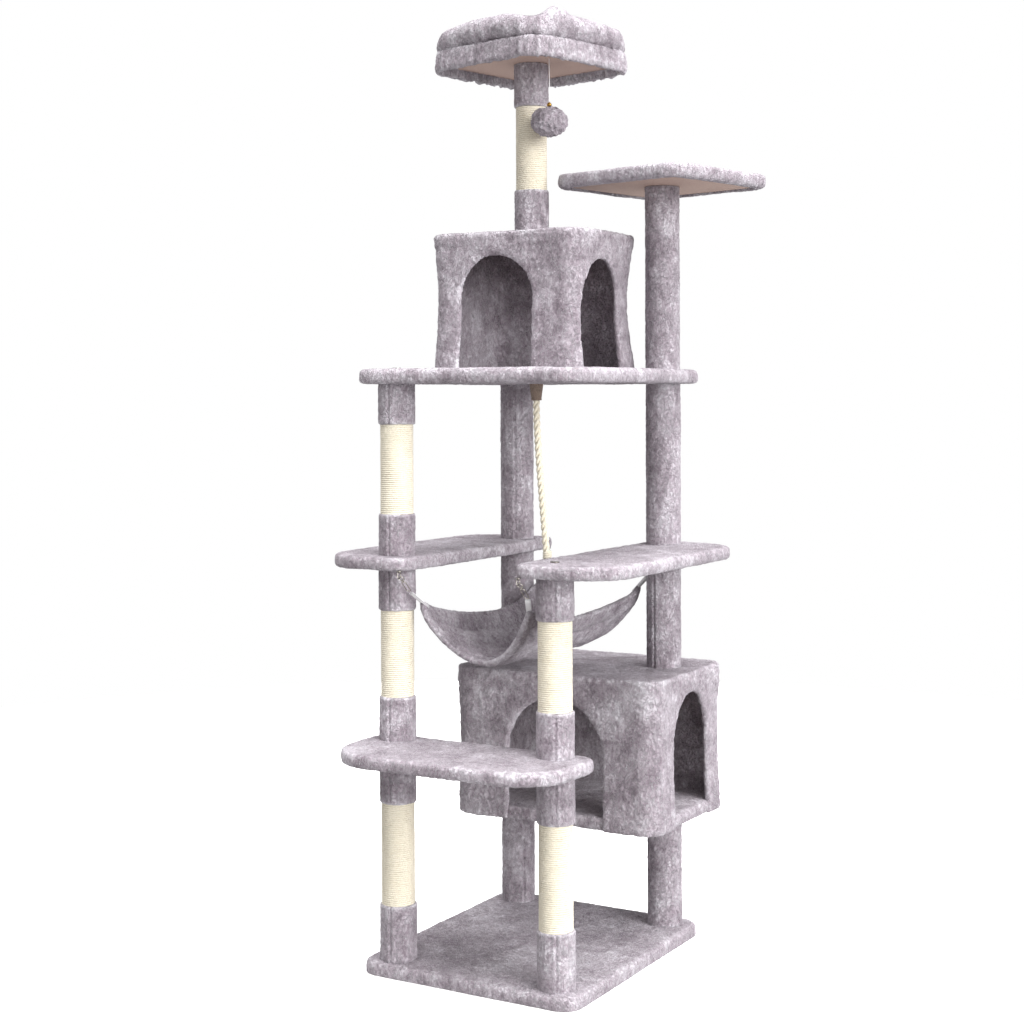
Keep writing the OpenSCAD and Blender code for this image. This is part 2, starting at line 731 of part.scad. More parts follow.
base_board();
base_cover();
step_board();
step_cover();
left_shelf_board();
left_shelf_cover();
right_shelf_board();
right_shelf_cover();
platform_board();
platform_cover();
low_house_floor_board();
low_house_floor_cover();
low_house_roof_board();
low_house_roof_cover();
low_house_wall();
low_house_wall_cover();
high_house_roof_board();
high_house_roof_cover();
high_house_wall();
high_house_wall_cover();
perch_board();
perch_cover();
bed_board();
bed_skirt();
bed_rim();
bed_lining();
tubes_front();
tubes_middle();
tubes_house();
tubes_top();
sleeve_c1();
sleeve_c2();
sleeve_c3();
sleeve_d1();
sleeve_d2();
sleeve_d3();
sleeve_d4();
sisal_a1();
sisal_a2();
sisal_a3();
sisal_b1();
sisal_b2();
sisal_e1();
collars_a();
collars_b();
collars_e();
post_plugs();
post_studs();
hammock_cloth();
hammock_straps();
hook_front_left();
hook_front_right();
hook_back_left();
hook_back_right();
hammock_eyes();
pompom_string();
pompom_bell();
pompom_ball();
rope_sleeve();
rope();
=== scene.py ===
# %% [markdown]
# # A tall cat tree
# Boards wrapped in plush are bolted to cardboard posts, some of them wound with sisal. The CAD model
# gives every piece its place and size, and this file gives each one its look. The first cell loads
# that model as a fixed frame, so a new piece only has to be made where the frame says it is.

# %% Load the frame
import math
import bmesh
import bpy
import numpy as np
from mathutils import Matrix, Vector


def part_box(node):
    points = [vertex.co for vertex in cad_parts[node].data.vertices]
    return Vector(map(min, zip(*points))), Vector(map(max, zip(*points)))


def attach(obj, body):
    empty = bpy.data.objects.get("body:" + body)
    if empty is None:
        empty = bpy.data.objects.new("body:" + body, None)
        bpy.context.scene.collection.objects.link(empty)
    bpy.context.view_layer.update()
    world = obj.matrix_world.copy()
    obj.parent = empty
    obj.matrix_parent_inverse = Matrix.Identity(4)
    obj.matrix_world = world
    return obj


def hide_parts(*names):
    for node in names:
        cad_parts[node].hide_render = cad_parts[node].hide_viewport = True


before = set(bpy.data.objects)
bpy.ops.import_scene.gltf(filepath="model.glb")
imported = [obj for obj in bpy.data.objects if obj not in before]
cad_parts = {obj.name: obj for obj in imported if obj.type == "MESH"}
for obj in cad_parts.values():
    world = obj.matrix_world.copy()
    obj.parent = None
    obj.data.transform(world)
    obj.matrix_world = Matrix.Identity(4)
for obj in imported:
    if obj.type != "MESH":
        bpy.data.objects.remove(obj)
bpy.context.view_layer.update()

# %% [markdown]
# ## The camera
# A tall slim object keeps its upright lines upright when the camera looks straight ahead. Tilting it
# down would make the posts lean together. The camera stays level at chest height and its picture is
# shifted down instead, as an architect's camera does.

# %% Camera
camera = bpy.data.objects.new("camera", bpy.data.cameras.new("camera"))
bpy.context.scene.collection.objects.link(camera)
camera.data.lens = 61.66
camera.data.shift_y = -0.1135
level = Matrix.Rotation(math.radians(30.48), 4, "Z") @ Matrix.Rotation(math.radians(90), 4, "X")
camera.matrix_world = Matrix.Translation((1.866, -3.263, 1.191)) @ level \
    @ Matrix.Rotation(math.radians(-0.218), 4, "Z")
bpy.context.scene.camera = camera
print("camera:", [round(c, 3) for c in camera.location])

# %% [markdown]
# ## Helpers for making a piece
# Every piece ends the same way: its mesh becomes an object at the origin, it gets a material, it rides
# on a body of the frame, and it stands for the CAD nodes it replaces.
# Writing that once keeps the cells below about shape only.

# %% Finishing a piece
FINISHES = {}


def finished(name, mesh, slot, body="root", nodes=(), flat=False):
    """Turns a bmesh or a mesh into a finished piece of the cat tree."""
    if isinstance(mesh, bmesh.types.BMesh):
        data = bpy.data.meshes.new(name)
        mesh.to_mesh(data)
        mesh.free()
    else:
        data = mesh
    data.polygons.foreach_set("use_smooth", [not flat] * len(data.polygons))
    piece = bpy.data.objects.new(name, data)
    bpy.context.scene.collection.objects.link(piece)
    piece.data.materials.clear()
    piece.data.materials.append(FINISHES[slot])
    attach(piece, body)
    if nodes:
        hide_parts(*nodes)
    return piece


def box_of(node):
    """A CAD node's lowest corner, highest corner and middle, as vectors."""
    low, high = (Vector(c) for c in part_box(node))
    return low, high, (low + high) / 2


def points_of(mesh):
    """A mesh's points and normals as arrays."""
    spots = np.zeros(len(mesh.vertices) * 3)
    mesh.vertices.foreach_get("co", spots)
    ways = np.zeros(len(mesh.vertices) * 3)
    mesh.vertex_normals.foreach_get("vector", ways)
    return spots.reshape(-1, 3), ways.reshape(-1, 3)


def move_points(mesh, spots):
    mesh.vertices.foreach_set("co", np.ascontiguousarray(spots, np.float32).ravel())
    mesh.update()


# %% [markdown]
# ## Unevenness
# Fabric is never quite regular. A smooth random field, worked out from a point's own position, can
# push a surface in and out. It gives the same answer in every run, and neighbouring points get nearly
# the same push, so the surface stays whole.

# %% A smooth random field
def field(spots, cell, seed=0):
    """Smooth values from -1 to 1 that change over about one cell."""
    scaled = spots / cell
    whole = np.floor(scaled).astype(np.int64)
    part = scaled - whole
    part = part * part * (3 - 2 * part)
    total = np.zeros(len(spots))
    for corner in range(8):
        step = np.array([corner & 1, corner >> 1 & 1, corner >> 2 & 1])
        at = whole + step
        mix = at[:, 0] * 374761393 + at[:, 1] * 668265263 + at[:, 2] * 1442695041 + seed * 974634777
        mix = (mix ^ mix >> 13) * 1274126177 & 0xFFFFFFFF
        mix = (mix ^ mix >> 15) * 2246822519 & 0xFFFFFFFF
        share = np.where(step, part, 1 - part).prod(axis=1)
        total += share * ((mix ^ mix >> 16) & 0xFFFFFF) / 0xFFFFFF
    return total * 2 - 1


def raise_pile(mesh, tuft=0.0014, wave=0.0012, seed=0, where=None):
    """Pushes a plush surface in and out along its normals, in small tufts and long waves."""
    # Marks the convex edges that the plush paints paler as a highlight.
    mark_highlight_edges(mesh)
    spots, ways = points_of(mesh)
    parted = 1 - 2.4 * np.abs(field(spots, 0.0085, seed))
    push = tuft * (0.55 + 0.5 * parted + 0.6 * field(spots, 0.0050, seed + 1))
    push += wave * (0.5 + 0.7 * field(spots, 0.055, seed + 2))
    if where is not None:
        push = push * where(spots)
    move_points(mesh, spots + ways * push[:, None])


def mark_highlight_edges(mesh, reach=0.0045):
    """Writes a point attribute: 1 where the surface turns outwards over an edge, 0 where it is flat. The plush paints
    these edges paler, a painted highlight.
    """
    spots, ways = points_of(mesh)
    smooth = mesh.copy()
    roll_edges(smooth, 14)
    calm, _ = points_of(smooth)
    bpy.data.meshes.remove(smooth)
    out = ((spots - calm) * ways).sum(axis=1)
    mark = mesh.attributes.new("edge_highlight", "FLOAT", "POINT")
    mark.data.foreach_set("value", np.clip(out / reach, 0, 1).astype(np.float32))


def roll_edges(mesh, times):
    """Smooths a mesh, which rounds its edges."""
    shape = bmesh.new()
    shape.from_mesh(mesh)
    for _ in range(times):
        bmesh.ops.smooth_vert(shape, verts=shape.verts, factor=0.5,
                              use_axis_x=True, use_axis_y=True, use_axis_z=True)
    shape.to_mesh(mesh)
    shape.free()
    mesh.update()


# %% [markdown]
# ## Plush
# The plush is a short silver-mauve pile. Brushed one way it catches the light and looks pale, brushed
# the other way it looks dark, so it is mottled in patches a few centimetres across. Pale streaks where
# tufts part and pale convex edges are painted highlights. The patches, the streaks and the tufts are
# worked out in one node group, and each material that uses the group sets its own colours.

# %% Node helpers
def new_group(name, takes, gives):
    """A shader node group with named sockets: {name: (kind, value)}."""
    group = bpy.data.node_groups.new(name, "ShaderNodeTree")
    for label, (kind, value) in takes.items():
        made = group.interface.new_socket(label, in_out="INPUT", socket_type="NodeSocket" + kind)
        if value is not None:
            made.default_value = value
    for label, kind in gives.items():
        group.interface.new_socket(label, in_out="OUTPUT", socket_type="NodeSocket" + kind)
    return group, group.nodes.new("NodeGroupInput"), group.nodes.new("NodeGroupOutput")


def noise(tree, vector, scale, detail=2.0, rough=0.5, bend=0.0):
    made = tree.nodes.new("ShaderNodeTexNoise")
    made.inputs["Scale"].default_value = scale
    made.inputs["Detail"].default_value = detail
    made.inputs["Roughness"].default_value = rough
    made.inputs["Distortion"].default_value = bend
    tree.links.new(vector, made.inputs["Vector"])
    return made.outputs["Fac"]


def spread(tree, value, low, high, to_low=0.0, to_high=1.0):
    made = tree.nodes.new("ShaderNodeMapRange")
    for label, number in (("From Min", low), ("From Max", high), ("To Min", to_low), ("To Max", to_high)):
        made.inputs[label].default_value = number
    tree.links.new(value, made.inputs["Value"])
    return made.outputs["Result"]


def maths(tree, how, a, b=0.5):
    made = tree.nodes.new("ShaderNodeMath")
    made.operation = how
    for k, value in enumerate((a, b)):
        if isinstance(value, (int, float)):
            made.inputs[k].default_value = value
        else:
            tree.links.new(value, made.inputs[k])
    return made.outputs[0]


def blended(tree, share, a, b):
    """A colour from a to b by share; each may be a colour or a socket."""
    made = tree.nodes.new("ShaderNodeMix")
    made.data_type = "RGBA"
    for label, value in ((0, share), (6, a), (7, b)):
        if isinstance(value, bpy.types.NodeSocket):
            tree.links.new(value, made.inputs[label])
        else:
            made.inputs[label].default_value = value
    return made.outputs[2]


def screen(r, g, b):
    """A colour given as it is seen on a screen, 0 to 255, as the linear values a shader takes."""
    return tuple((c / 255 / 12.92) if c < 11 else ((c / 255 + 0.055) / 1.055) ** 2.4 for c in (r, g, b)) + (1,)


def new_material(name, rough=0.8, **uniform):
    """A material with its Principled shader, its tree and the piece's own coordinates."""
    made = bpy.data.materials.new(name)
    made.use_nodes = True
    tree = made.node_tree
    shader = next(n for n in tree.nodes if n.type == "BSDF_PRINCIPLED")
    shader.inputs["Roughness"].default_value = rough
    for label, value in uniform.items():
        shader.inputs[label.replace("_", " ")].default_value = value
    where = tree.nodes.new("ShaderNodeTexCoord").outputs["Object"]
    return made, tree, shader, where


def bumped(tree, shader, height, depth, strength=1.0):
    made = tree.nodes.new("ShaderNodeBump")
    made.inputs["Distance"].default_value = depth
    made.inputs["Strength"].default_value = strength
    tree.links.new(height, made.inputs["Height"])
    tree.links.new(made.outputs["Normal"], shader.inputs["Normal"])


# %% The pile group
pile, taken, given = new_group(
    "plush_pile",
    {"Vector": ("Vector", None), "Edge_Highlight": ("Float", 0.0), "Pale": ("Color", None), "Middle": ("Color", None),
     "Deep": ("Color", None)},
    {"Color": "Color", "Roughness": "Float", "Height": "Float"})
at = taken.outputs["Vector"]
patch = noise(pile, at, 17, 4, 0.55, 0.5)
broad = noise(pile, at, 5, 2, 0.5, 0.3)
stroke = pile.nodes.new("ShaderNodeMapping")
stroke.inputs["Scale"].default_value = (1, 1, 0.5)
pile.links.new(at, stroke.inputs["Vector"])
brushed = noise(pile, stroke.outputs["Vector"], 48, 4, 0.7, 0.9)
curls = noise(pile, stroke.outputs["Vector"], 85, 3, 0.62, 1.6)
tufts = noise(pile, at, 150, 3, 0.72, 0.8)
hairs = noise(pile, at, 620, 2, 0.6)
streak = spread(pile, maths(pile, "ABSOLUTE", maths(pile, "SUBTRACT", curls, 0.5)), 0.0, 0.028, 1.0, 0.0)
tone = maths(pile, "ADD", maths(pile, "MULTIPLY", patch, 0.4), maths(pile, "MULTIPLY", broad, 0.2))
tone = maths(pile, "ADD", tone, maths(pile, "MULTIPLY", brushed, 0.4))
tone = spread(pile, tone, 0.38, 0.66)
tone = maths(pile, "ADD", tone, spread(pile, tufts, 0.36, 0.66, -0.26, 0.28))
# Convex edges are painted paler here: a painted highlight along the edges.
tone = maths(pile, "ADD", tone, maths(pile, "MULTIPLY", taken.outputs["Edge_Highlight"], 0.35))
dark_side = blended(pile, spread(pile, tone, 0.0, 0.5), taken.outputs["Deep"], taken.outputs["Middle"])
both = blended(pile, spread(pile, tone, 0.5, 1.1), dark_side, taken.outputs["Pale"])
# The pale streaks are painted highlights on parted tufts. This noise only says where they show, and the streaks also go
# into the bump.
streak_highlight_mask = spread(pile, noise(pile, at, 26, 3, 0.6), 0.42, 0.6, 0.1, 1.0)
painted_highlight_share = maths(pile, "MULTIPLY", maths(pile, "MULTIPLY", streak, streak_highlight_mask), 0.8)
pile.links.new(blended(pile, painted_highlight_share, both, taken.outputs["Pale"]), given.inputs["Color"])
pile.links.new(spread(pile, tone, 0.0, 1.0, 1.0, 0.8), given.inputs["Roughness"])
tall = maths(pile, "ADD", maths(pile, "MULTIPLY", tufts, 0.8), maths(pile, "MULTIPLY", hairs, 0.25))
tall = maths(pile, "ADD", tall, maths(pile, "MULTIPLY", brushed, 0.6))
tall = maths(pile, "ADD", tall, maths(pile, "MULTIPLY", streak, 0.45))
pile.links.new(tall, given.inputs["Height"])
print("group:", pile.name, len(pile.nodes), "nodes")


# %% Plush materials
def plush(name, pale, middle, deep, depth=0.0042):
    made, tree, shader, where = new_material(
        name, Sheen_Weight=0.45, Sheen_Roughness=0.35, Specular_IOR_Level=0.15)
    shader.inputs["Sheen Tint"].default_value = screen(232, 228, 236)
    group = tree.nodes.new("ShaderNodeGroup")
    group.node_tree = pile
    for label, colour in (("Pale", pale), ("Middle", middle), ("Deep", deep)):
        group.inputs[label].default_value = screen(*colour)
    tree.links.new(where, group.inputs["Vector"])
    # The attribute read here marks convex edges, which the pile group paints paler as a highlight.
    edge_highlight = tree.nodes.new("ShaderNodeAttribute")
    edge_highlight.attribute_name = "edge_highlight"
    tree.links.new(edge_highlight.outputs["Fac"], group.inputs["Edge_Highlight"])
    tree.links.new(group.outputs["Color"], shader.inputs["Base Color"])
    tree.links.new(group.outputs["Roughness"], shader.inputs["Roughness"])
    bumped(tree, shader, group.outputs["Height"], depth)
    return made


FINISHES["plush"] = plush("plush", (216, 212, 218), (165, 155, 163), (124, 113, 121))
# The hammock is the same plush as the rest; its darker colours are painted shade.
FINISHES["plush__hammock_painted_shade"] = plush("plush_hammock_painted_shade", (198, 193, 199), (142, 132, 140), (102, 92, 99))
print("finishes:", sorted(FINISHES))

# %% [markdown]
# ## Boards and tubes
# Under the plush are pressed boards and cardboard tubes. Almost all of them is hidden, but the undersides
# of the perch and the bed show the bare board: a warm brown with fine specks of wood. The tubes are
# brown paper wound at a slant, which shows as faint slanted lines.

# %% Board and cardboard
def board(name):
    made, tree, shader, where = new_material(name, 0.75, Specular_IOR_Level=0.3)
    specks = noise(tree, where, 420, 4, 0.7)
    clouds = noise(tree, where, 9, 3, 0.5)
    colour = blended(tree, spread(tree, specks, 0.35, 0.65), screen(150, 125, 116), screen(184, 159, 148))
    colour = blended(tree, spread(tree, clouds, 0.3, 0.7, 0.0, 0.35), colour, screen(196, 172, 160))
    tree.links.new(colour, shader.inputs["Base Color"])
    bumped(tree, shader, specks, 0.0004, 0.6)
    return made


def cardboard(name):
    made, tree, shader, where = new_material(name, 0.85, Specular_IOR_Level=0.2)
    wave = tree.nodes.new("ShaderNodeTexWave")
    turn = tree.nodes.new("ShaderNodeMapping")
    turn.inputs["Rotation"].default_value = (0.5, 0.4, 0)
    wave.inputs["Scale"].default_value = 6
    wave.inputs["Distortion"].default_value = 1.5
    tree.links.new(where, turn.inputs["Vector"])
    tree.links.new(turn.outputs["Vector"], wave.inputs["Vector"])
    fibres = noise(tree, where, 300, 3, 0.7)
    colour = blended(tree, spread(tree, fibres, 0.3, 0.7), screen(158, 128, 92), screen(190, 160, 120))
    colour = blended(tree, spread(tree, wave.outputs["Fac"], 0, 0.12, 0.4, 0.0), colour, screen(120, 94, 66))
    tree.links.new(colour, shader.inputs["Base Color"])
    bumped(tree, shader, fibres, 0.0003, 0.5)
    return made


FINISHES["particle_board"] = board("particle_board")
FINISHES["cardboard"] = cardboard("cardboard")
print("finishes:", sorted(FINISHES))

# %% [markdown]
# ## Sisal, rope and webbing
# Sisal is a pale straw-coloured twine of coarse fibres, wound tight round a post and glued. The hanging
# rope is cotton in three strands. Webbing is a flat woven strap. Their fibres are much finer than their
# shape, so the shape is modelled and the fibres are left to the bump.

# %% Fibre materials
def fibrous(name, pale, deep, scale, stretch, depth, rough=0.85):
    made, tree, shader, where = new_material(name, rough, Sheen_Weight=0.2, Specular_IOR_Level=0.2)
    turn = tree.nodes.new("ShaderNodeMapping")
    turn.inputs["Scale"].default_value = stretch
    tree.links.new(where, turn.inputs["Vector"])
    hair = noise(tree, turn.outputs["Vector"], scale, 4, 0.7, 0.3)
    cloud = noise(tree, where, 35, 3, 0.6)
    colour = blended(tree, spread(tree, hair, 0.32, 0.62), screen(*deep), screen(*pale))
    colour = blended(tree, spread(tree, cloud, 0.35, 0.75, 0.0, 0.35), colour, screen(*deep))
    tree.links.new(colour, shader.inputs["Base Color"])
    bumped(tree, shader, hair, depth)
    return made


FINISHES["sisal"] = fibrous("sisal", (240, 234, 219), (216, 206, 184), 330, (1, 1, 2.5), 0.0010)
FINISHES["cotton_rope"] = fibrous("cotton_rope", (244, 238, 222), (214, 204, 180), 420, (1, 1, 0.35), 0.0008)
FINISHES["white_webbing"] = fibrous("white_webbing", (244, 243, 244), (206, 204, 206), 900, (1, 1, 1), 0.0004)
FINISHES["elastic_cord"] = fibrous("elastic_cord", (246, 245, 245), (214, 212, 214), 1500, (1, 1, 0.4), 0.0002)
FINISHES["brown_binding"] = fibrous("brown_binding", (150, 133, 121), (108, 92, 82), 700, (1, 1, 0.3), 0.0005)
print("finishes:", sorted(FINISHES))

# %% [markdown]
# ## Metals
# The snap hooks and screw eyes are nickel-plated steel and the bell is brass. Polished metal shows
# faint scratches and a little dullness where it is handled, so roughness varies over the surface.

# %% Metal materials
def metal(name, bright, dull, rough):
    made, tree, shader, where = new_material(name, rough)
    shader.inputs["Metallic"].default_value = 1.0
    haze = noise(tree, where, 260, 4, 0.6, 0.8)
    tree.links.new(blended(tree, spread(tree, haze, 0.35, 0.7), screen(*bright), screen(*dull)),
                   shader.inputs["Base Color"])
    tree.links.new(spread(tree, haze, 0.3, 0.7, rough * 0.7, rough * 1.7), shader.inputs["Roughness"])
    bumped(tree, shader, haze, 0.00008, 0.4)
    return made


FINISHES["nickel_steel"] = metal("nickel_steel", (168, 163, 157), (112, 107, 101), 0.24)
FINISHES["brass"] = metal("brass", (214, 168, 84), (160, 116, 46), 0.24)
print("finishes:", len(FINISHES))

# %% [markdown]
# ## What the frame keeps
# A CAD node whose shape is already right stays. It is shown as it is and only gets its finish: the
# boards, the tubes, the plugs, the studs and the small steel fittings.

# %% Finishes for the kept nodes
KEPT = {
    "particle_board": [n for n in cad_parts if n.endswith("_board")] + ["post_plugs"],
    "cardboard": ["tubes_front", "tubes_middle", "tubes_house", "tubes_top", "low_house_wall", "high_house_wall"],
    "nickel_steel": ["post_studs", "hammock_eyes", "hook_front_left", "hook_front_right",
                     "hook_back_left", "hook_back_right"],
}
for slot, names in KEPT.items():
    for name in names:
        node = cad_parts[name]
        node.data.materials.clear()
        node.data.materials.append(FINISHES[slot])
print("kept:", sum(len(n) for n in KEPT.values()))

# %% [markdown]
# ## Wrapping a board in plush
# A covered deck is a flat board with plush pulled round its edge and stapled. Its outline is the frame's
# own: the hull of the CAD cover gives the slab. A voxel remesh turns the slab into an even grid of small
# faces, smoothing rolls its edge over as thick fabric does, and the pile is raised last. Where the board's
# underside shows, the fabric under it is lifted away, which leaves a hem round the edge.

# %% Slab, grid and roll
def hull_of(*nodes):
    """The convex hull of CAD nodes as a bmesh."""
    shape = bmesh.new()
    for node in nodes:
        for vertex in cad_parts[node].data.vertices:
            shape.verts.new(vertex.co)
    bmesh.ops.remove_doubles(shape, verts=shape.verts, dist=1e-5)
    found = bmesh.ops.convex_hull(shape, input=shape.verts)
    spare = [g for g in found["geom_interior"] if isinstance(g, bmesh.types.BMVert)]
    bmesh.ops.delete(shape, geom=spare, context="VERTS")
    bmesh.ops.recalc_face_normals(shape, faces=shape.faces)
    return shape


def even_grid(shape, cell):
    """The bmesh's surface as a mesh of small even faces."""
    data = bpy.data.meshes.new("grid")
    shape.to_mesh(data)
    shape.free()
    holder = bpy.data.objects.new("grid", data)
    bpy.context.scene.collection.objects.link(holder)
    change = holder.modifiers.new("grid", "REMESH")
    change.mode = "VOXEL"
    change.voxel_size = cell
    view = bpy.context.evaluated_depsgraph_get()
    made = bpy.data.meshes.new_from_object(holder.evaluated_get(view))
    bpy.data.objects.remove(holder)
    return made


def turned(spots, middle, angle):
    """Plan positions measured from a middle and turned by an angle."""
    flat = spots[:, :2] - np.array(middle[:2])
    c, s = math.cos(angle), math.sin(angle)
    return np.stack([flat[:, 0] * c + flat[:, 1] * s, -flat[:, 0] * s + flat[:, 1] * c], axis=1)


def open_below(mesh, low, high, middle, half, hem, turn=0.0, radius=0.03):
    """Lifts the middle of an underside to the height high, leaving a hem of fabric round it."""
    spots, _ = points_of(mesh)
    flat = np.abs(turned(spots, middle, turn))
    room = np.array(half) - hem
    corner = np.maximum(flat - (room - radius), 0)
    inside = np.hypot(corner[:, 0], corner[:, 1]) < radius
    under = inside & (spots[:, 2] < (low + high) / 2)
    spots[under, 2] = high
    move_points(mesh, spots)


# %% [markdown]
# ## The decks
# Six flat decks are made the same way: the base, the step, the two side shelves, the main platform and
# the lower house's floor. The base's board shows underneath, so its plush is only a tray over it.

# %% Covered decks
CELL = 0.0045
DECKS = {"base_cover": 3, "step_cover": 4, "left_shelf_cover": 5, "right_shelf_cover": 6,
         "platform_cover": 7, "low_house_floor_cover": 8}
for name, seed in DECKS.items():
    low, high, middle = box_of(name)
    slab = hull_of(name)
    if name == "base_cover":
        bmesh.ops.scale(slab, vec=(1, 1, 1.5), verts=slab.verts, space=Matrix.Translation((0, 0, -high.z)))
    if name == "low_house_floor_cover":
        grow = [1 + 0.015 / (high[k] - low[k]) for k in (0, 1)]
        bmesh.ops.scale(slab, vec=(*grow, 1.03), verts=slab.verts, space=Matrix.Translation(-middle))
    grid = even_grid(slab, CELL)
    roll_edges(grid, 7)
    if name == "base_cover":
        open_below(grid, low.z, high.z - 0.0031, middle, (high - low).xy / 2, 0.0032, radius=0.036)
    raise_pile(grid, tuft=0.0012, seed=seed)
    if name == "base_cover":
        spots, _ = points_of(grid)
        spots[:, 2] = np.maximum(spots[:, 2], 0.0004)
        move_points(grid, spots)
    piece = finished(name.replace("_cover", "_plush"), grid, "plush", nodes=[name])
    print(piece.name, len(grid.polygons), "faces")

# %% [markdown]
# ## The houses
# Each house is a ring of cardboard between two layers of plush, with an arched doorway in the front and
# in one side. The CAD cover is a closed skin with a closed space inside for the cardboard, so keeping
# only its outer skin gives the wall as one solid. The fabric is stretched between roof and floor, which
# draws the walls in at mid-height and leaves the corners standing out a little at the top. The cardboard
# inside is drawn in by the same amount, so it stays hidden.

# %% Outer skin and waist
def outer_skin(node):
    """The largest connected shell of a CAD node, as a bmesh."""
    shape = bmesh.new()
    shape.from_mesh(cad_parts[node].data)
    bmesh.ops.remove_doubles(shape, verts=shape.verts, dist=1e-5)
    left, shells = set(shape.verts), []
    while left:
        start = left.pop()
        shell, edge = {start}, [start]
        while edge:
            for link in edge.pop().link_edges:
                for vertex in link.verts:
                    if vertex in left:
                        left.discard(vertex)
                        shell.add(vertex)
                        edge.append(vertex)
        shells.append(shell)
    size = [max(v.co.x for v in s) - min(v.co.x for v in s) for s in shells]
    keep = shells[size.index(max(size))]
    bmesh.ops.delete(shape, geom=[v for v in shape.verts if v not in keep], context="VERTS")
    return shape


def waist(spots, low, high, middle, draw, far):
    """Draws upright walls in towards the middle, most of all at mid-height: by draw, and by far at the back right."""
    share = np.clip((spots[:, 2] - low.z) / (high.z - low.z), 0, 1)
    off = [(spots[:, k] - middle[k]) / ((high[k] - low[k]) / 2) for k in (0, 1)]
    corner = np.clip(off[0], 0, 1) * np.clip(off[1], 0, 1)
    reach = (draw + (far - draw) * corner) * np.sin(share * math.pi) ** 1.3
    moved = spots.copy()
    for k in (0, 1):
        moved[:, k] -= np.sign(off[k]) * np.clip(np.abs(off[k]), 0, 1) ** 3 * reach
    return moved


# %% House walls
for house, seed, draw, far in (("low_house", 12, 0.0045, 0.0045), ("high_house", 14, 0.0085, 0.017)):
    low, high, middle = box_of(house + "_wall_cover")
    grid = even_grid(outer_skin(house + "_wall_cover"), 0.0042)
    roll_edges(grid, 3)
    spots, _ = points_of(grid)
    move_points(grid, waist(spots, low, high, middle, draw, far))
    spots, ways = points_of(grid)
    wrinkle = 1 - 2.4 * np.abs(field(spots * np.array((0.3, 0.3, 1)), 0.017, seed + 40))
    near = np.exp(-(high.z - spots[:, 2]) / 0.035) + 0.45
    move_points(grid, spots + ways * (0.0013 * wrinkle * near)[:, None])
    raise_pile(grid, tuft=0.0014, wave=0.0018, seed=seed)
    piece = finished(house + "_plush_wall", grid, "plush", nodes=[house + "_wall_cover"])
    print(piece.name, len(grid.polygons), "faces")

    card = bmesh.new()
    card.from_mesh(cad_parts[house + "_wall"].data)
    bmesh.ops.remove_doubles(card, verts=card.verts, dist=1e-5)
    for k in range(1, 12):
        bmesh.ops.bisect_plane(card, geom=card.verts[:] + card.edges[:] + card.faces[:], dist=1e-6,
                               plane_co=(0, 0, low.z + (high.z - low.z) * k / 12), plane_no=(0, 0, 1))
    drawn = waist(np.array([v.co[:] for v in card.verts]), low, high, middle, draw, far)
    for vertex, spot in zip(card.verts, drawn):
        vertex.co = spot
    finished(house + "_cardboard", card, "cardboard", nodes=[house + "_wall"], flat=True)

# %% [markdown]
# ## Roof panels
# A house's roof is a flat plush panel sewn to the walls all round. The seam pulls a fine groove just
# below the edge. The panel is the hull of the CAD roof cover made thicker at its edge, then hollowed so
# that the roof board inside keeps its room.

# %% Roofs
for house, seed in (("low_house", 16), ("high_house", 17)):
    low, high, middle = box_of(house + "_roof_cover")
    slab = hull_of(house + "_roof_cover")
    bmesh.ops.scale(slab, vec=(1, 1, 3.6), verts=slab.verts, space=Matrix.Translation((0, 0, -high.z)))
    grid = even_grid(slab, CELL)
    roll_edges(grid, 3)
    open_below(grid, high.z - 0.0108, high.z - 0.0028, middle, (high - low).xy / 2, 0.0112, radius=0.034)
    raise_pile(grid, wave=0.0014, seed=seed)
    piece = finished(house + "_roof_plush", grid, "plush", nodes=[house + "_roof_cover"])
    print(piece.name, len(grid.polygons), "faces")

# %% [markdown]
# ## The perch
# The perch is a bare board with plush over its top and edge, turned under and stapled about two
# centimetres in. Everything on the last two posts is turned a little, so the hem is measured in the
# perch's own directions.

# %% Perch
TOP_TURN = math.radians(-12)
low, high, middle = box_of("perch_cover")
grid = even_grid(hull_of("perch_cover"), CELL)
roll_edges(grid, 7)
open_below(grid, low.z, high.z - 0.0031, middle, (0.175, 0.175), 0.022, turn=TOP_TURN, radius=0.03)
raise_pile(grid, seed=19)
print(finished("perch_plush", grid, "plush", nodes=["perch_cover"]).name, len(grid.polygons), "faces")

# %% [markdown]
# ## Plush sleeves and collars
# A post's plush is a tube of fabric with one upright seam, pushed over the cardboard. The seam is a thin
# dark groove between two slightly raised lips. Spinning a rectangle round the post's middle gives the
# tube, and the seam is pressed in afterwards, where its angle says.

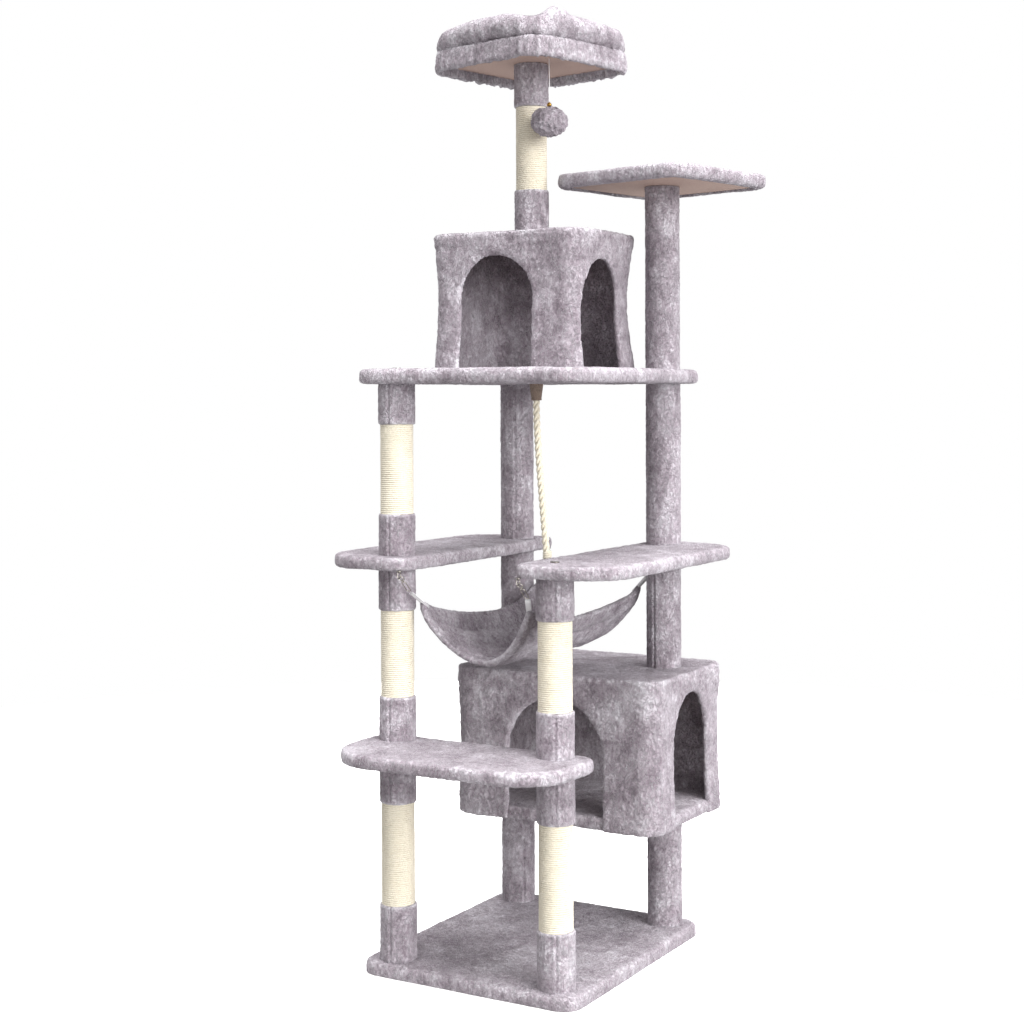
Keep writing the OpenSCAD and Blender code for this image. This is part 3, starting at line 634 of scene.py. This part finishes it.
# %% Sleeves
def post_tube(name, spans, seam, seed, nodes):
    """Plush tubes round posts: spans are (middle, bottom, top, outer radius, inner radius)."""
    whole = bmesh.new()
    for middle, bottom, top, outer, inner in spans:
        rows = max(4, round((top - bottom) / 0.0036))
        side = [(outer - 0.0016, bottom), *((outer, bottom + (top - bottom) * (k + 0.45) / rows)
                for k in range(rows)), (outer - 0.0016, top)]
        loop = [whole.verts.new((middle.x + r, middle.y, z)) for r, z in side + [(inner, top), (inner, bottom)]]
        edges = [whole.edges.new((loop[k - 1], loop[k])) for k in range(len(loop))]
        bmesh.ops.spin(whole, geom=loop + edges, cent=(middle.x, middle.y, 0), axis=(0, 0, 1),
                       angle=math.tau, steps=96, use_merge=True, use_duplicate=False)
    bmesh.ops.remove_doubles(whole, verts=whole.verts, dist=1e-5)
    bmesh.ops.recalc_face_normals(whole, faces=whole.faces)
    mesh = bpy.data.meshes.new(name)
    whole.to_mesh(mesh)
    whole.free()
    outer = spans[0][3]
    spots, _ = points_of(mesh)
    push = np.zeros(len(spots))
    away = np.zeros((len(spots), 2))
    for middle, bottom, top, outer, inner in spans:
        flat = spots[:, :2] - np.array(middle[:2])
        radius = np.hypot(flat[:, 0], flat[:, 1])
        mine = (radius < outer + 0.001) & (spots[:, 2] > bottom - 0.001) & (spots[:, 2] < top + 0.001)
        skin = mine & (radius > outer - 0.0025)
        turn = np.angle(np.exp(1j * (np.arctan2(flat[:, 1], flat[:, 0]) - seam))) * outer
        dip = -0.0020 * np.exp(-(turn / 0.0016) ** 2) \
            + 0.0011 * (np.exp(-((turn - 0.0052) / 0.003) ** 2) + np.exp(-((turn + 0.0052) / 0.003) ** 2))
        push[skin] = dip[skin]
        away[skin] = flat[skin] / radius[skin, None]
    spots[:, :2] += away * push[:, None]
    move_points(mesh, spots)
    grown = (np.abs(away).sum(axis=1) > 0).astype(float)
    raise_pile(mesh, tuft=0.0009, wave=0.0009, seed=seed, where=lambda _: grown)
    return finished(name, mesh, "plush", nodes=nodes)


SEAMS = {"sleeve_c1": -40, "sleeve_c2": 110, "sleeve_c3": -66, "sleeve_d1": 160, "sleeve_d2": -98,
         "sleeve_d3": 30, "sleeve_d4": 75}
for seed, (name, seam) in enumerate(SEAMS.items(), 20):
    low, high, middle = box_of(name)
    outer = (high.x - low.x) / 2
    piece = post_tube(name.replace("sleeve", "post_sleeve"), [(middle, low.z, high.z, outer, outer - 0.0048)],
                      math.radians(seam), seed, [name])
print("sleeves:", len(SEAMS))


# %% Collars
def heights_of(node):
    """The bottoms and tops of the separate rings in a CAD node."""
    levels = sorted({round(v.co.z, 5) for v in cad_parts[node].data.vertices})
    return list(zip(levels[0::2], levels[1::2]))


for seed, (name, seam) in enumerate({"collars_a": -82, "collars_b": -60, "collars_e": 120}.items(), 40):
    low, high, middle = box_of(name)
    outer = (high.x - low.x) / 2
    spans = [(middle, bottom, top, outer, outer - 0.0048) for bottom, top in heights_of(name)]
    piece = post_tube("post_" + name, spans, math.radians(seam), seed, [name])
    print(piece.name, len(spans), "collars")

# %% [markdown]
# ## Sisal winding
# Twine wound round a post is one long coil. Spinning a small round section many times round the post,
# and raising it a little at each step, makes exactly that. One turn is spun and then repeated. A finer
# section would cost too many faces in a winding of fifty turns, so it has six sides and smooth shading.

# %% Sisal coils
TWINE = 0.0042
ROUND = 44
for seed, name in enumerate([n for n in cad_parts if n.startswith("sisal_")], 50):
    low, high, middle = box_of(name)
    outer = (high.x - low.x) / 2 - 0.0002
    turns = round((high.z - low.z) / TWINE)
    pitch = (high.z - low.z) / turns
    coil = bmesh.new()
    section = bmesh.ops.create_circle(coil, segments=6, radius=TWINE * 0.54)["verts"]
    bmesh.ops.rotate(coil, verts=section, cent=(0, 0, 0), matrix=Matrix.Rotation(math.radians(90), 3, "X"))
    bmesh.ops.translate(coil, verts=section, vec=(middle.x + outer - TWINE * 0.54, middle.y, low.z - pitch * 0.4))
    bmesh.ops.spin(coil, geom=section + coil.edges[:], cent=(middle.x, middle.y, 0), axis=(0, 0, 1),
                   dvec=(0, 0, pitch / ROUND), angle=math.tau, steps=ROUND, use_duplicate=False)
    turn = coil.verts[:] + coil.edges[:] + coil.faces[:]
    for k in range(1, turns + 1):
        more = bmesh.ops.duplicate(coil, geom=turn)["geom"]
        bmesh.ops.translate(coil, vec=(0, 0, k * pitch), verts=[g for g in more if isinstance(g, bmesh.types.BMVert)])
    bmesh.ops.remove_doubles(coil, verts=coil.verts, dist=2e-5)
    bmesh.ops.holes_fill(coil, edges=[e for e in coil.edges if e.is_boundary], sides=6)
    bmesh.ops.recalc_face_normals(coil, faces=coil.faces)
    mesh = bpy.data.meshes.new(name)
    coil.to_mesh(mesh)
    coil.free()
    spots, ways = points_of(mesh)
    move_points(mesh, spots + ways * (0.00035 * field(spots, 0.004, seed) + 0.0002 * field(spots, 0.03, seed))[:, None])
    piece = finished(name.replace("sisal", "sisal_coil"), mesh, "sisal", nodes=[name])
    print(piece.name, turns, "turns,", len(mesh.polygons), "faces")

# %% [markdown]
# ## Filling a cushion
# The bed's rim is a stuffed tube of plush. Inflating it with a cloth simulation makes it swell between its
# seams and wrinkle where it turns a corner, in a way that is hard to draw. Pressure pushes the cloth out
# for twenty steps, and no point may move further than a cap, which keeps the
# cushion inside the space the frame gives it.

# %% Cloth filling
def fill(mesh, pressure, cap, steps=20):
    """Inflates a closed mesh by cloth simulation."""
    before, _ = points_of(mesh)
    holder = bpy.data.objects.new("filling", mesh)
    bpy.context.scene.collection.objects.link(holder)
    cloth = holder.modifiers.new("filling", "CLOTH")
    cloth.settings.quality = 6
    cloth.settings.mass = 0.15
    cloth.settings.tension_stiffness = 10
    cloth.settings.compression_stiffness = 10
    cloth.settings.bending_stiffness = 0.3
    cloth.settings.use_pressure = True
    cloth.settings.uniform_pressure_force = pressure
    cloth.settings.effector_weights.gravity = 0
    cloth.point_cache.frame_start, cloth.point_cache.frame_end = 1, steps
    for step in range(1, steps + 1):
        bpy.context.scene.frame_set(step)
    view = bpy.context.evaluated_depsgraph_get()
    made = bpy.data.meshes.new_from_object(holder.evaluated_get(view))
    after, _ = points_of(made)
    moved = after - before
    size = np.linalg.norm(moved, axis=1, keepdims=True)
    moved *= np.minimum(1, cap / np.maximum(size, 1e-9))
    bpy.data.objects.remove(holder)
    bpy.data.meshes.remove(made)
    bpy.context.scene.frame_set(1)
    move_points(mesh, before + moved)
    print("filled:", len(mesh.vertices), "points, moved up to", round(float(size.max()) * 1000, 1), "mm")


# %% [markdown]
# ## The bed
# The bed has three soft parts: a stuffed rim, a band of plush below it that wraps the board and is
# gathered along its lower edge, and a thin pad inside. The rim sits on the band, and a seam runs round
# between them.

# %% Bed rim
low, high, middle = box_of("bed_rim")
grid = even_grid(outer_skin("bed_rim"), 0.0052)
roll_edges(grid, 14)
fill(grid, 3.0, 0.012)
spots, ways = points_of(grid)
plan = turned(spots, middle, TOP_TURN)
angle = np.arctan2(plan[:, 1], plan[:, 0])
share = np.clip((spots[:, 2] - low.z) / (high.z - low.z), 0, 1)
ring = np.stack([np.cos(angle) * 0.17, np.sin(angle) * 0.17, spots[:, 2] * 0.2], axis=1)
tuck = 1 - 2.2 * np.abs(field(ring, 0.028, 60)) + 0.2 * field(ring, 0.011, 68)
spots += ways * (0.0030 * tuck * np.clip(1.3 - share, 0, 1))[:, None]
corner = np.abs(np.sin(2 * angle)) ** 5
inward = 0.016 * corner * (0.3 + 0.7 * share)
spots[:, :2] -= (spots[:, :2] - np.array(middle[:2])) / np.linalg.norm(plan, axis=1)[:, None] * inward[:, None]
rise = 0.0040 * field(np.stack([plan[:, 0], plan[:, 1], plan[:, 0] * 0], axis=1), 0.075, 61) - 0.009 * corner
rise += 0.020 * np.exp(-((angle + 0.53) / 0.17) ** 2)
spots[:, 2] += np.clip(share * 1.6 - 0.5, 0, 1) * rise
move_points(grid, spots)
raise_pile(grid, tuft=0.0016, wave=0.0018, seed=62)
rim = finished("bed_rim_cushion", grid, "plush", nodes=["bed_rim"])
print(rim.name, len(grid.polygons), "faces")

# %% Bed band and pad
low, high, middle = box_of("bed_skirt")
board_low, board_high, _ = box_of("bed_board")
grid = even_grid(hull_of("bed_skirt"), CELL)
roll_edges(grid, 6)
spots, ways = points_of(grid)
plan = turned(spots, middle, TOP_TURN)
angle = np.arctan2(plan[:, 1], plan[:, 0])
share = np.clip((spots[:, 2] - low.z) / (high.z - low.z), 0, 1)
ring = np.stack([np.cos(angle) * 0.17, np.sin(angle) * 0.17, spots[:, 2] * 0.12], axis=1)
tuck = 1 - 2.6 * np.abs(field(ring, 0.013, 63))
side = np.hypot(ways[:, 0], ways[:, 1]) > 0.4
spots += ways * ((0.0034 * tuck + 0.002) * np.clip(1.2 - share, 0, 1) * side)[:, None]
corner = np.abs(np.sin(2 * angle)) ** 5
spots[:, :2] -= (spots[:, :2] - np.array(middle[:2])) / np.maximum(np.linalg.norm(plan, axis=1), 0.01)[:, None] \
    * (0.003 * corner)[:, None]
spots[:, 2] += 0.002 * field(np.stack([np.cos(angle), np.sin(angle), angle * 0], axis=1) * 0.17, 0.012, 64) \
    * np.clip(0.5 - share, 0, 0.5) * 2
move_points(grid, spots)
open_below(grid, low.z, board_high.z + 0.0005, middle, (0.166, 0.166), 0.0125, turn=TOP_TURN, radius=0.046)
raise_pile(grid, seed=65)
band = finished("bed_plush_band", grid, "plush", nodes=["bed_skirt"])
low, high, middle = box_of("bed_lining")
grid = even_grid(hull_of("bed_lining"), CELL)
roll_edges(grid, 9)
spots, _ = points_of(grid)
plan = turned(spots, middle, TOP_TURN)
dome = np.clip(1 - (np.abs(plan) / 0.11).max(axis=1) ** 2, 0, 1)
spots[:, 2] += np.where(spots[:, 2] > middle.z, 0.007 * dome, 0)
move_points(grid, spots)
raise_pile(grid, wave=0.002, seed=66)
pad = finished("bed_pad", grid, "plush", nodes=["bed_lining"])
print(band.name, pad.name)

# %% [markdown]
# ## The hammock
# The hammock is one piece of plush hung by its four corners. Held like that, cloth falls into a trough:
# the long edges sag a little, the ends sag a lot, and folds run from each corner towards the middle.
# A flat grid is laid along that hanging surface, given folds and a thickness, and a doubled hem.

# %% Hanging cloth
CORNER = (0.126, 0.244, 0.769)
WIDE, LONG = 92, 144


def half_width(v):
    return 0.132 - 0.031 * (1 - v * v) ** 1.4


def half_length(u):
    return 0.252 - 0.037 * (1 - u * u) ** 1.4


cloth = bmesh.new()
bmesh.ops.create_grid(cloth, x_segments=WIDE, y_segments=LONG, size=1)
flat_u, flat_v = np.array([v.co.xy[:] for v in cloth.verts]).T
for vertex in cloth.verts:
    u, v = vertex.co.x, vertex.co.y
    open_u, open_v = max(0, 1 - u * u), max(0, 1 - v * v)
    height = CORNER[2] - 0.040 * open_v - open_u * (0.115 - 0.030 * open_v) - 0.0048
    tip = max(0, abs(u) + abs(v) - 1.75) ** 2 * 0.55
    u, v = max(-1, min(1, u - math.copysign(tip * 1.5, u))), max(-1, min(1, v - math.copysign(tip, v)))
    vertex.co = (u * half_width(v), v * half_length(u), height)
inner = np.clip((1 - np.abs(flat_u)) * 5, 0, 1) * np.clip((1 - np.abs(flat_v)) * 6, 0, 1)
along = np.stack([flat_u * 0.25 + 0.06 * flat_v * np.sign(flat_u), flat_v * 0.07, flat_u * 0], axis=1)
fold = 0.7 * field(along, 0.032, 70) + 0.4 * field(along * 2.1, 0.032, 71)
for seed, (end_u, end_v) in enumerate(((-1, -1), (1, -1), (-1, 1), (1, 1)), 74):
    off_u, off_v = (flat_u - end_u) * CORNER[0], (flat_v - end_v) * CORNER[1]
    far = np.hypot(off_u, off_v)
    fan = np.arctan2(np.abs(off_v), np.abs(off_u) + 1e-6)
    fold += 1.1 * np.sin(fan * 9 + seed) * np.exp(-(far / 0.19) ** 2) * np.clip(far / 0.10, 0, 1)
for vertex, push, stay in zip(cloth.verts, fold, inner):
    vertex.co.z += 0.0042 * push * stay
bmesh.ops.recalc_face_normals(cloth, faces=cloth.faces)
if sum(f.normal.z for f in cloth.faces) < 0:
    bmesh.ops.reverse_faces(cloth, faces=cloth.faces)
bmesh.ops.solidify(cloth, geom=cloth.faces[:], thickness=0.0062)
bmesh.ops.recalc_face_normals(cloth, faces=cloth.faces)
bmesh.ops.subdivide_edges(cloth, edges=[e for e in cloth.edges if e.calc_length() > 0.0055], cuts=1, use_grid_fill=True)
mesh = bpy.data.meshes.new("hammock_cloth_plush")
cloth.to_mesh(mesh)
cloth.free()


def hem_of(spots):
    """How far a point of the hanging cloth lies inside its nearest edge, in metres."""
    half = half_width(np.clip(spots[:, 1] / 0.244, -1, 1))
    u = np.clip(spots[:, 0] / half, -1, 1)
    return np.minimum(half - np.abs(spots[:, 0]), half_length(u) - np.abs(spots[:, 1]))


spots, ways = points_of(mesh)
edge = hem_of(spots)
bead = 0.0028 * np.exp(-((edge - 0.010) / 0.009) ** 2) - 0.0034 * np.exp(-((edge - 0.0235) / 0.0036) ** 2)
move_points(mesh, spots + ways * bead[:, None])
raise_pile(mesh, tuft=0.0010, wave=0.0012, seed=72)
hammock = finished("hammock_plush", mesh, "plush__hammock_painted_shade", body="hammock", nodes=["hammock_cloth"])
print(hammock.name, len(mesh.polygons), "faces")

# %% [markdown]
# ## Straps
# At each corner a white strap runs up through the snap hook's loop and back, and both ends are sewn into
# the hem. The strap is a short line bent round the hook's wire, drawn out sideways to its width and then
# given a thickness.

# %% Webbing straps
LEAN = math.radians(46)
EYE = Vector((0.140, 0.310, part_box("left_shelf_cover")[0][2] - 0.009))
HOOK_END = EYE + (0.006 + 0.045) * Vector((0, -math.sin(LEAN), -math.cos(LEAN)))
straps = bmesh.new()
for sx in (-1, 1):
    for sy in (-1, 1):
        top = Vector((sx * HOOK_END.x, sy * HOOK_END.y, HOOK_END.z))
        foot = Vector((sx * CORNER[0], sy * CORNER[1], CORNER[2] - 0.003))
        way = (foot - top).normalized()
        wide = Vector((way.y, -way.x, 0)).normalized()
        out = wide.cross(way).normalized()
        line = [foot + out * 0.0010 + way * 0.022]
        line += [top + 0.0019 * (out * math.cos(t) - way * math.sin(t))
                 for t in (math.pi * k / 8 for k in range(9))]
        line += [foot - out * 0.0010 + way * 0.022]
        verts = [straps.verts.new(p - wide * 0.0055) for p in line]
        edges = [straps.edges.new((a, b)) for a, b in zip(verts, verts[1:])]
        long = [e for e in edges if e.calc_length() > 0.01]
        more = bmesh.ops.subdivide_edges(straps, edges=long, cuts=10)
        start = set(verts) | {g for g in more["geom_inner"] if isinstance(g, bmesh.types.BMVert)}
        rail = [e for e in straps.edges if e.verts[0] in start and e.verts[1] in start]
        for k in range(6):
            grown = bmesh.ops.extrude_edge_only(straps, edges=rail)["geom"]
            rail = [g for g in grown if isinstance(g, bmesh.types.BMEdge)]
            bmesh.ops.translate(straps, vec=wide * (0.011 / 6),
                                verts=[g for g in grown if isinstance(g, bmesh.types.BMVert)])
bmesh.ops.recalc_face_normals(straps, faces=straps.faces)
bmesh.ops.solidify(straps, geom=straps.faces[:], thickness=0.0011)
bmesh.ops.recalc_face_normals(straps, faces=straps.faces)
webbing = finished("hammock_straps_webbing", straps, "white_webbing", body="hammock", nodes=["hammock_straps"])
print(webbing.name, len(webbing.data.polygons), "faces")

# %% [markdown]
# ## The pompom
# A pompom is a ball of plush gathered at the top, so it is a little flat. It hangs on a thin elastic cord
# with a small brass bell above it. The bell is two pressed halves with a rim where they meet.

# %% Pompom and bell
low, high, middle = box_of("pompom_ball")
ball = bmesh.new()
bmesh.ops.create_icosphere(ball, subdivisions=6, radius=1)
bmesh.ops.scale(ball, vec=((high.x - low.x) / 2, (high.y - low.y) / 2, (high.z - low.z) / 2), verts=ball.verts)
bmesh.ops.translate(ball, vec=middle, verts=ball.verts)
mesh = bpy.data.meshes.new("pompom_plush")
ball.to_mesh(mesh)
ball.free()
spots, ways = points_of(mesh)
around = np.arctan2(spots[:, 1] - middle.y, spots[:, 0] - middle.x)
pole = np.clip((spots[:, 2] - middle.z) / (high.z - middle.z), -1, 1)
creases = field(np.stack([np.cos(around), np.sin(around), pole * 0.4], axis=1), 0.42, 80)
dent = -0.007 * np.exp(-((1 - pole) / 0.10) ** 2) + 0.0022 * creases * (0.4 + 0.6 * np.abs(pole))
move_points(mesh, spots + ways * dent[:, None])
raise_pile(mesh, tuft=0.0034, wave=0.0012, seed=81)
pompom = finished("pompom_plush", mesh, "plush", body="pompom", nodes=["pompom_ball"])

low, high, middle = box_of("pompom_bell")
radius = (high.z - low.z) / 2
bell = bmesh.new()
bmesh.ops.create_uvsphere(bell, u_segments=40, v_segments=24, radius=radius * 0.96)
bmesh.ops.translate(bell, vec=middle, verts=bell.verts)
rim_side = [bell.verts.new((middle.x + r * radius, middle.y, middle.z + z * radius))
            for r, z in ((0.93, -0.07), (1.0, -0.05), (1.0, 0.05), (0.93, 0.07))]
rim_edges = [bell.edges.new((rim_side[k - 1], rim_side[k])) for k in range(4)]
bmesh.ops.spin(bell, geom=rim_side + rim_edges, cent=middle, axis=(0, 0, 1), angle=math.tau, steps=40,
               use_merge=True, use_duplicate=False)
wire = bmesh.ops.create_circle(bell, segments=10, radius=radius * 0.1)["verts"]
bmesh.ops.translate(bell, vec=middle + Vector((radius * 0.22, 0, radius * 1.05)), verts=wire)
bmesh.ops.spin(bell, geom=wire + list({e for v in wire for e in v.link_edges}),
               cent=middle + Vector((0, 0, radius * 1.05)), axis=(0, 1, 0), angle=math.tau, steps=24,
               use_merge=True, use_duplicate=False)
bmesh.ops.remove_doubles(bell, verts=bell.verts, dist=1e-6)
bmesh.ops.recalc_face_normals(bell, faces=bell.faces)
bell = finished("pompom_brass_bell", bell, "brass", body="pompom", nodes=["pompom_bell"])
print(pompom.name, bell.name)

# %% Pompom cord
low, high, middle = box_of("pompom_string")
drop = high.z - low.z
line = bpy.data.curves.new("pompom_cord", "CURVE")
line.dimensions = "3D"
line.bevel_depth = 0.0009
line.bevel_resolution = 3
line.use_fill_caps = True
thread = line.splines.new("POLY")
thread.points.add(16)
for k, point in enumerate(thread.points):
    share = k / 16
    sway = 0.0006 * math.sin(share * math.pi)
    point.co = (middle.x + sway, middle.y, high.z - share * drop, 1)
string = bpy.data.objects.new("pompom_cord", line)
bpy.context.scene.collection.objects.link(string)
line.materials.append(FINISHES["elastic_cord"])
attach(string, "pompom_line")
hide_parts("pompom_string")
print(string.name, round(drop, 4), "m")

# %% [markdown]
# ## The rope
# The rope has three strands laid round each other. Each strand is a round section carried along the rope's
# own line while it turns about it, so the strands lie in each other's grooves. The last strand is
# wound round the end as a stopper knot, and a tapered sleeve holds the top under the platform.

# %% Three-strand rope
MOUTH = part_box("rope_sleeve")[0][2]
ROUTE = [(9, 0), (9, 30), (11, 70), (14, 115), (18, 165), (23, 220), (28, 275), (32, 320), (34, 340)]
ROPE = 0.015
knots = np.array([(x / 1000, -0.005, MOUTH - down / 1000) for x, down in ROUTE])
gaps = np.concatenate([[0], np.cumsum(np.linalg.norm(np.diff(knots, axis=0), axis=1))])
LENGTH = float(gaps[-1])
stations = np.linspace(0, LENGTH, 121)
path = np.stack([np.interp(stations, gaps, knots[:, k]) for k in range(3)], axis=1)
for _ in range(60):
    path[1:-1] = (path[:-2] + 2 * path[1:-1] + path[2:]) / 4
lay_of = bmesh.new()
for strand in range(3):
    section = bmesh.ops.create_circle(lay_of, segments=10, radius=ROPE * 0.265, cap_ends=True)["verts"]
    home = [v.co.copy() for v in section]
    loop = list({e for v in section for e in v.link_edges})
    for k, spot in enumerate(path):
        ahead = Vector(path[min(k + 1, 120)] - path[max(k - 1, 0)]).normalized()
        side = Vector((0, 1, 0)).cross(ahead).normalized()
        spin = math.tau * (stations[k] / 0.046 + strand / 3)
        core = Vector(spot) + ROPE * 0.25 * (side * math.cos(spin) + Vector((0, 1, 0)) * math.sin(spin))
        if k:
            grown = bmesh.ops.extrude_edge_only(lay_of, edges=loop)["geom"]
            section = [g for g in grown if isinstance(g, bmesh.types.BMVert)]
            loop = [g for g in grown if isinstance(g, bmesh.types.BMEdge)
                    and g.verts[0] in section and g.verts[1] in section]
        for i, vertex in enumerate(section):
            vertex.co = core + side * home[i].x + Vector((0, 1, 0)) * home[i].y
    bmesh.ops.holes_fill(lay_of, edges=loop, sides=10)
end = Vector(path[-1])
turns = bmesh.ops.create_circle(lay_of, segments=8, radius=0.0025)["verts"]
bmesh.ops.rotate(lay_of, verts=turns, cent=(0, 0, 0), matrix=Matrix.Rotation(math.radians(90), 3, "X"))
bmesh.ops.translate(lay_of, verts=turns, vec=end + Vector((0.0074, 0, 0.003)))
bmesh.ops.spin(lay_of, geom=turns + list({e for v in turns for e in v.link_edges}), cent=end, axis=(0, 0, 1),
               dvec=(0, 0, 0.0046 / 32), angle=math.tau * 3.5, steps=112, use_duplicate=False)
bmesh.ops.holes_fill(lay_of, edges=[e for e in lay_of.edges if e.is_boundary], sides=8)
bmesh.ops.recalc_face_normals(lay_of, faces=lay_of.faces)
mesh = bpy.data.meshes.new("hanging_rope")
lay_of.to_mesh(mesh)
lay_of.free()
spots, ways = points_of(mesh)
move_points(mesh, spots + ways * (0.0003 * field(spots, 0.003, 90))[:, None])
rope = finished("hanging_rope", mesh, "cotton_rope", body="rope", nodes=["rope"])
print(rope.name, round(LENGTH, 3), "m,", len(mesh.polygons), "faces")

# %% Rope sleeve
low, high, middle = box_of("rope_sleeve")
sleeve = bmesh.new()
outline = [(0.0090, 0), (0.0108, 0), (0.0113, 0.0012), (0.0113, 0.004), (0.0108, 0.005), (0.0114, 0.007),
           (0.0125, 0.016), (0.0140, 0.027), (0.0154, 0.0355), (0.0156, 0.037), (0.0090, 0.037)]
side = [sleeve.verts.new((middle.x + r, middle.y, low.z + z)) for r, z in outline]
edges = [sleeve.edges.new((side[k - 1], side[k])) for k in range(len(side))]
bmesh.ops.spin(sleeve, geom=side + edges, cent=middle, axis=(0, 0, 1), angle=math.tau, steps=48,
               use_merge=True, use_duplicate=False)
bmesh.ops.remove_doubles(sleeve, verts=sleeve.verts, dist=1e-6)
bmesh.ops.recalc_face_normals(sleeve, faces=sleeve.faces)
finished("rope_binding", sleeve, "brown_binding", nodes=["rope_sleeve"])

# %% [markdown]
# ## Floor and light
# A pale floor and a soft white surrounding show the plush as a shop would. Most of the light comes from
# a broad lamp above, with a weaker one on the right, so that tops look palest, the right-hand faces a
# little darker and the front faces darker again. Far lamps light the bed and the base alike, where near
# ones would leave the base in the dark.

# %% Floor
floor = bmesh.new()
bmesh.ops.create_circle(floor, segments=96, radius=3.6, cap_ends=True)
data = bpy.data.meshes.new("floor")
floor.to_mesh(data)
floor.free()
ground = bpy.data.objects.new("floor", data)
bpy.context.scene.collection.objects.link(ground)
paint, tree, shader, where = new_material("floor_white", 0.55, Specular_IOR_Level=0.3)
shader.inputs["Base Color"].default_value = (0.93, 0.93, 0.93, 1)
shader.inputs["Emission Color"].default_value = (1, 1, 1, 1)
shader.inputs["Emission Strength"].default_value = 0.5
data.materials.append(paint)
ground.visible_diffuse = False
ground.location.z = -0.001


# %% Lamps
def far_lamp(name, side, strength, softness):
    """A broad far lamp that lights top and bottom alike; side is where its light comes from."""
    made = bpy.data.objects.new(name, bpy.data.lights.new(name, "SUN"))
    made.data.energy = strength
    made.data.angle = math.radians(softness)
    bpy.context.scene.collection.objects.link(made)
    made.location = Vector(side) * 3
    made.rotation_mode = "QUATERNION"
    made.rotation_quaternion = (-Vector(side)).to_track_quat("-Z", "Y")


world = bpy.data.worlds.new("studio")
bpy.context.scene.world = world
world.use_nodes = True
sky = world.node_tree
sky.nodes["Background"].inputs["Color"].default_value = (1, 1, 1, 1)
seen = sky.nodes.new("ShaderNodeLightPath")
sky.links.new(spread(sky, seen.outputs["Is Camera Ray"], 0, 1, 0.66, 1.0), sky.nodes["Background"].inputs["Strength"])
far_lamp("top", (0.15, -0.1, 1.0), 5.7, 55)
far_lamp("right", (1.0, -0.32, 0.25), 3.7, 40)
bpy.context.scene.view_settings.view_transform = "Standard"
print("lamps: 2")
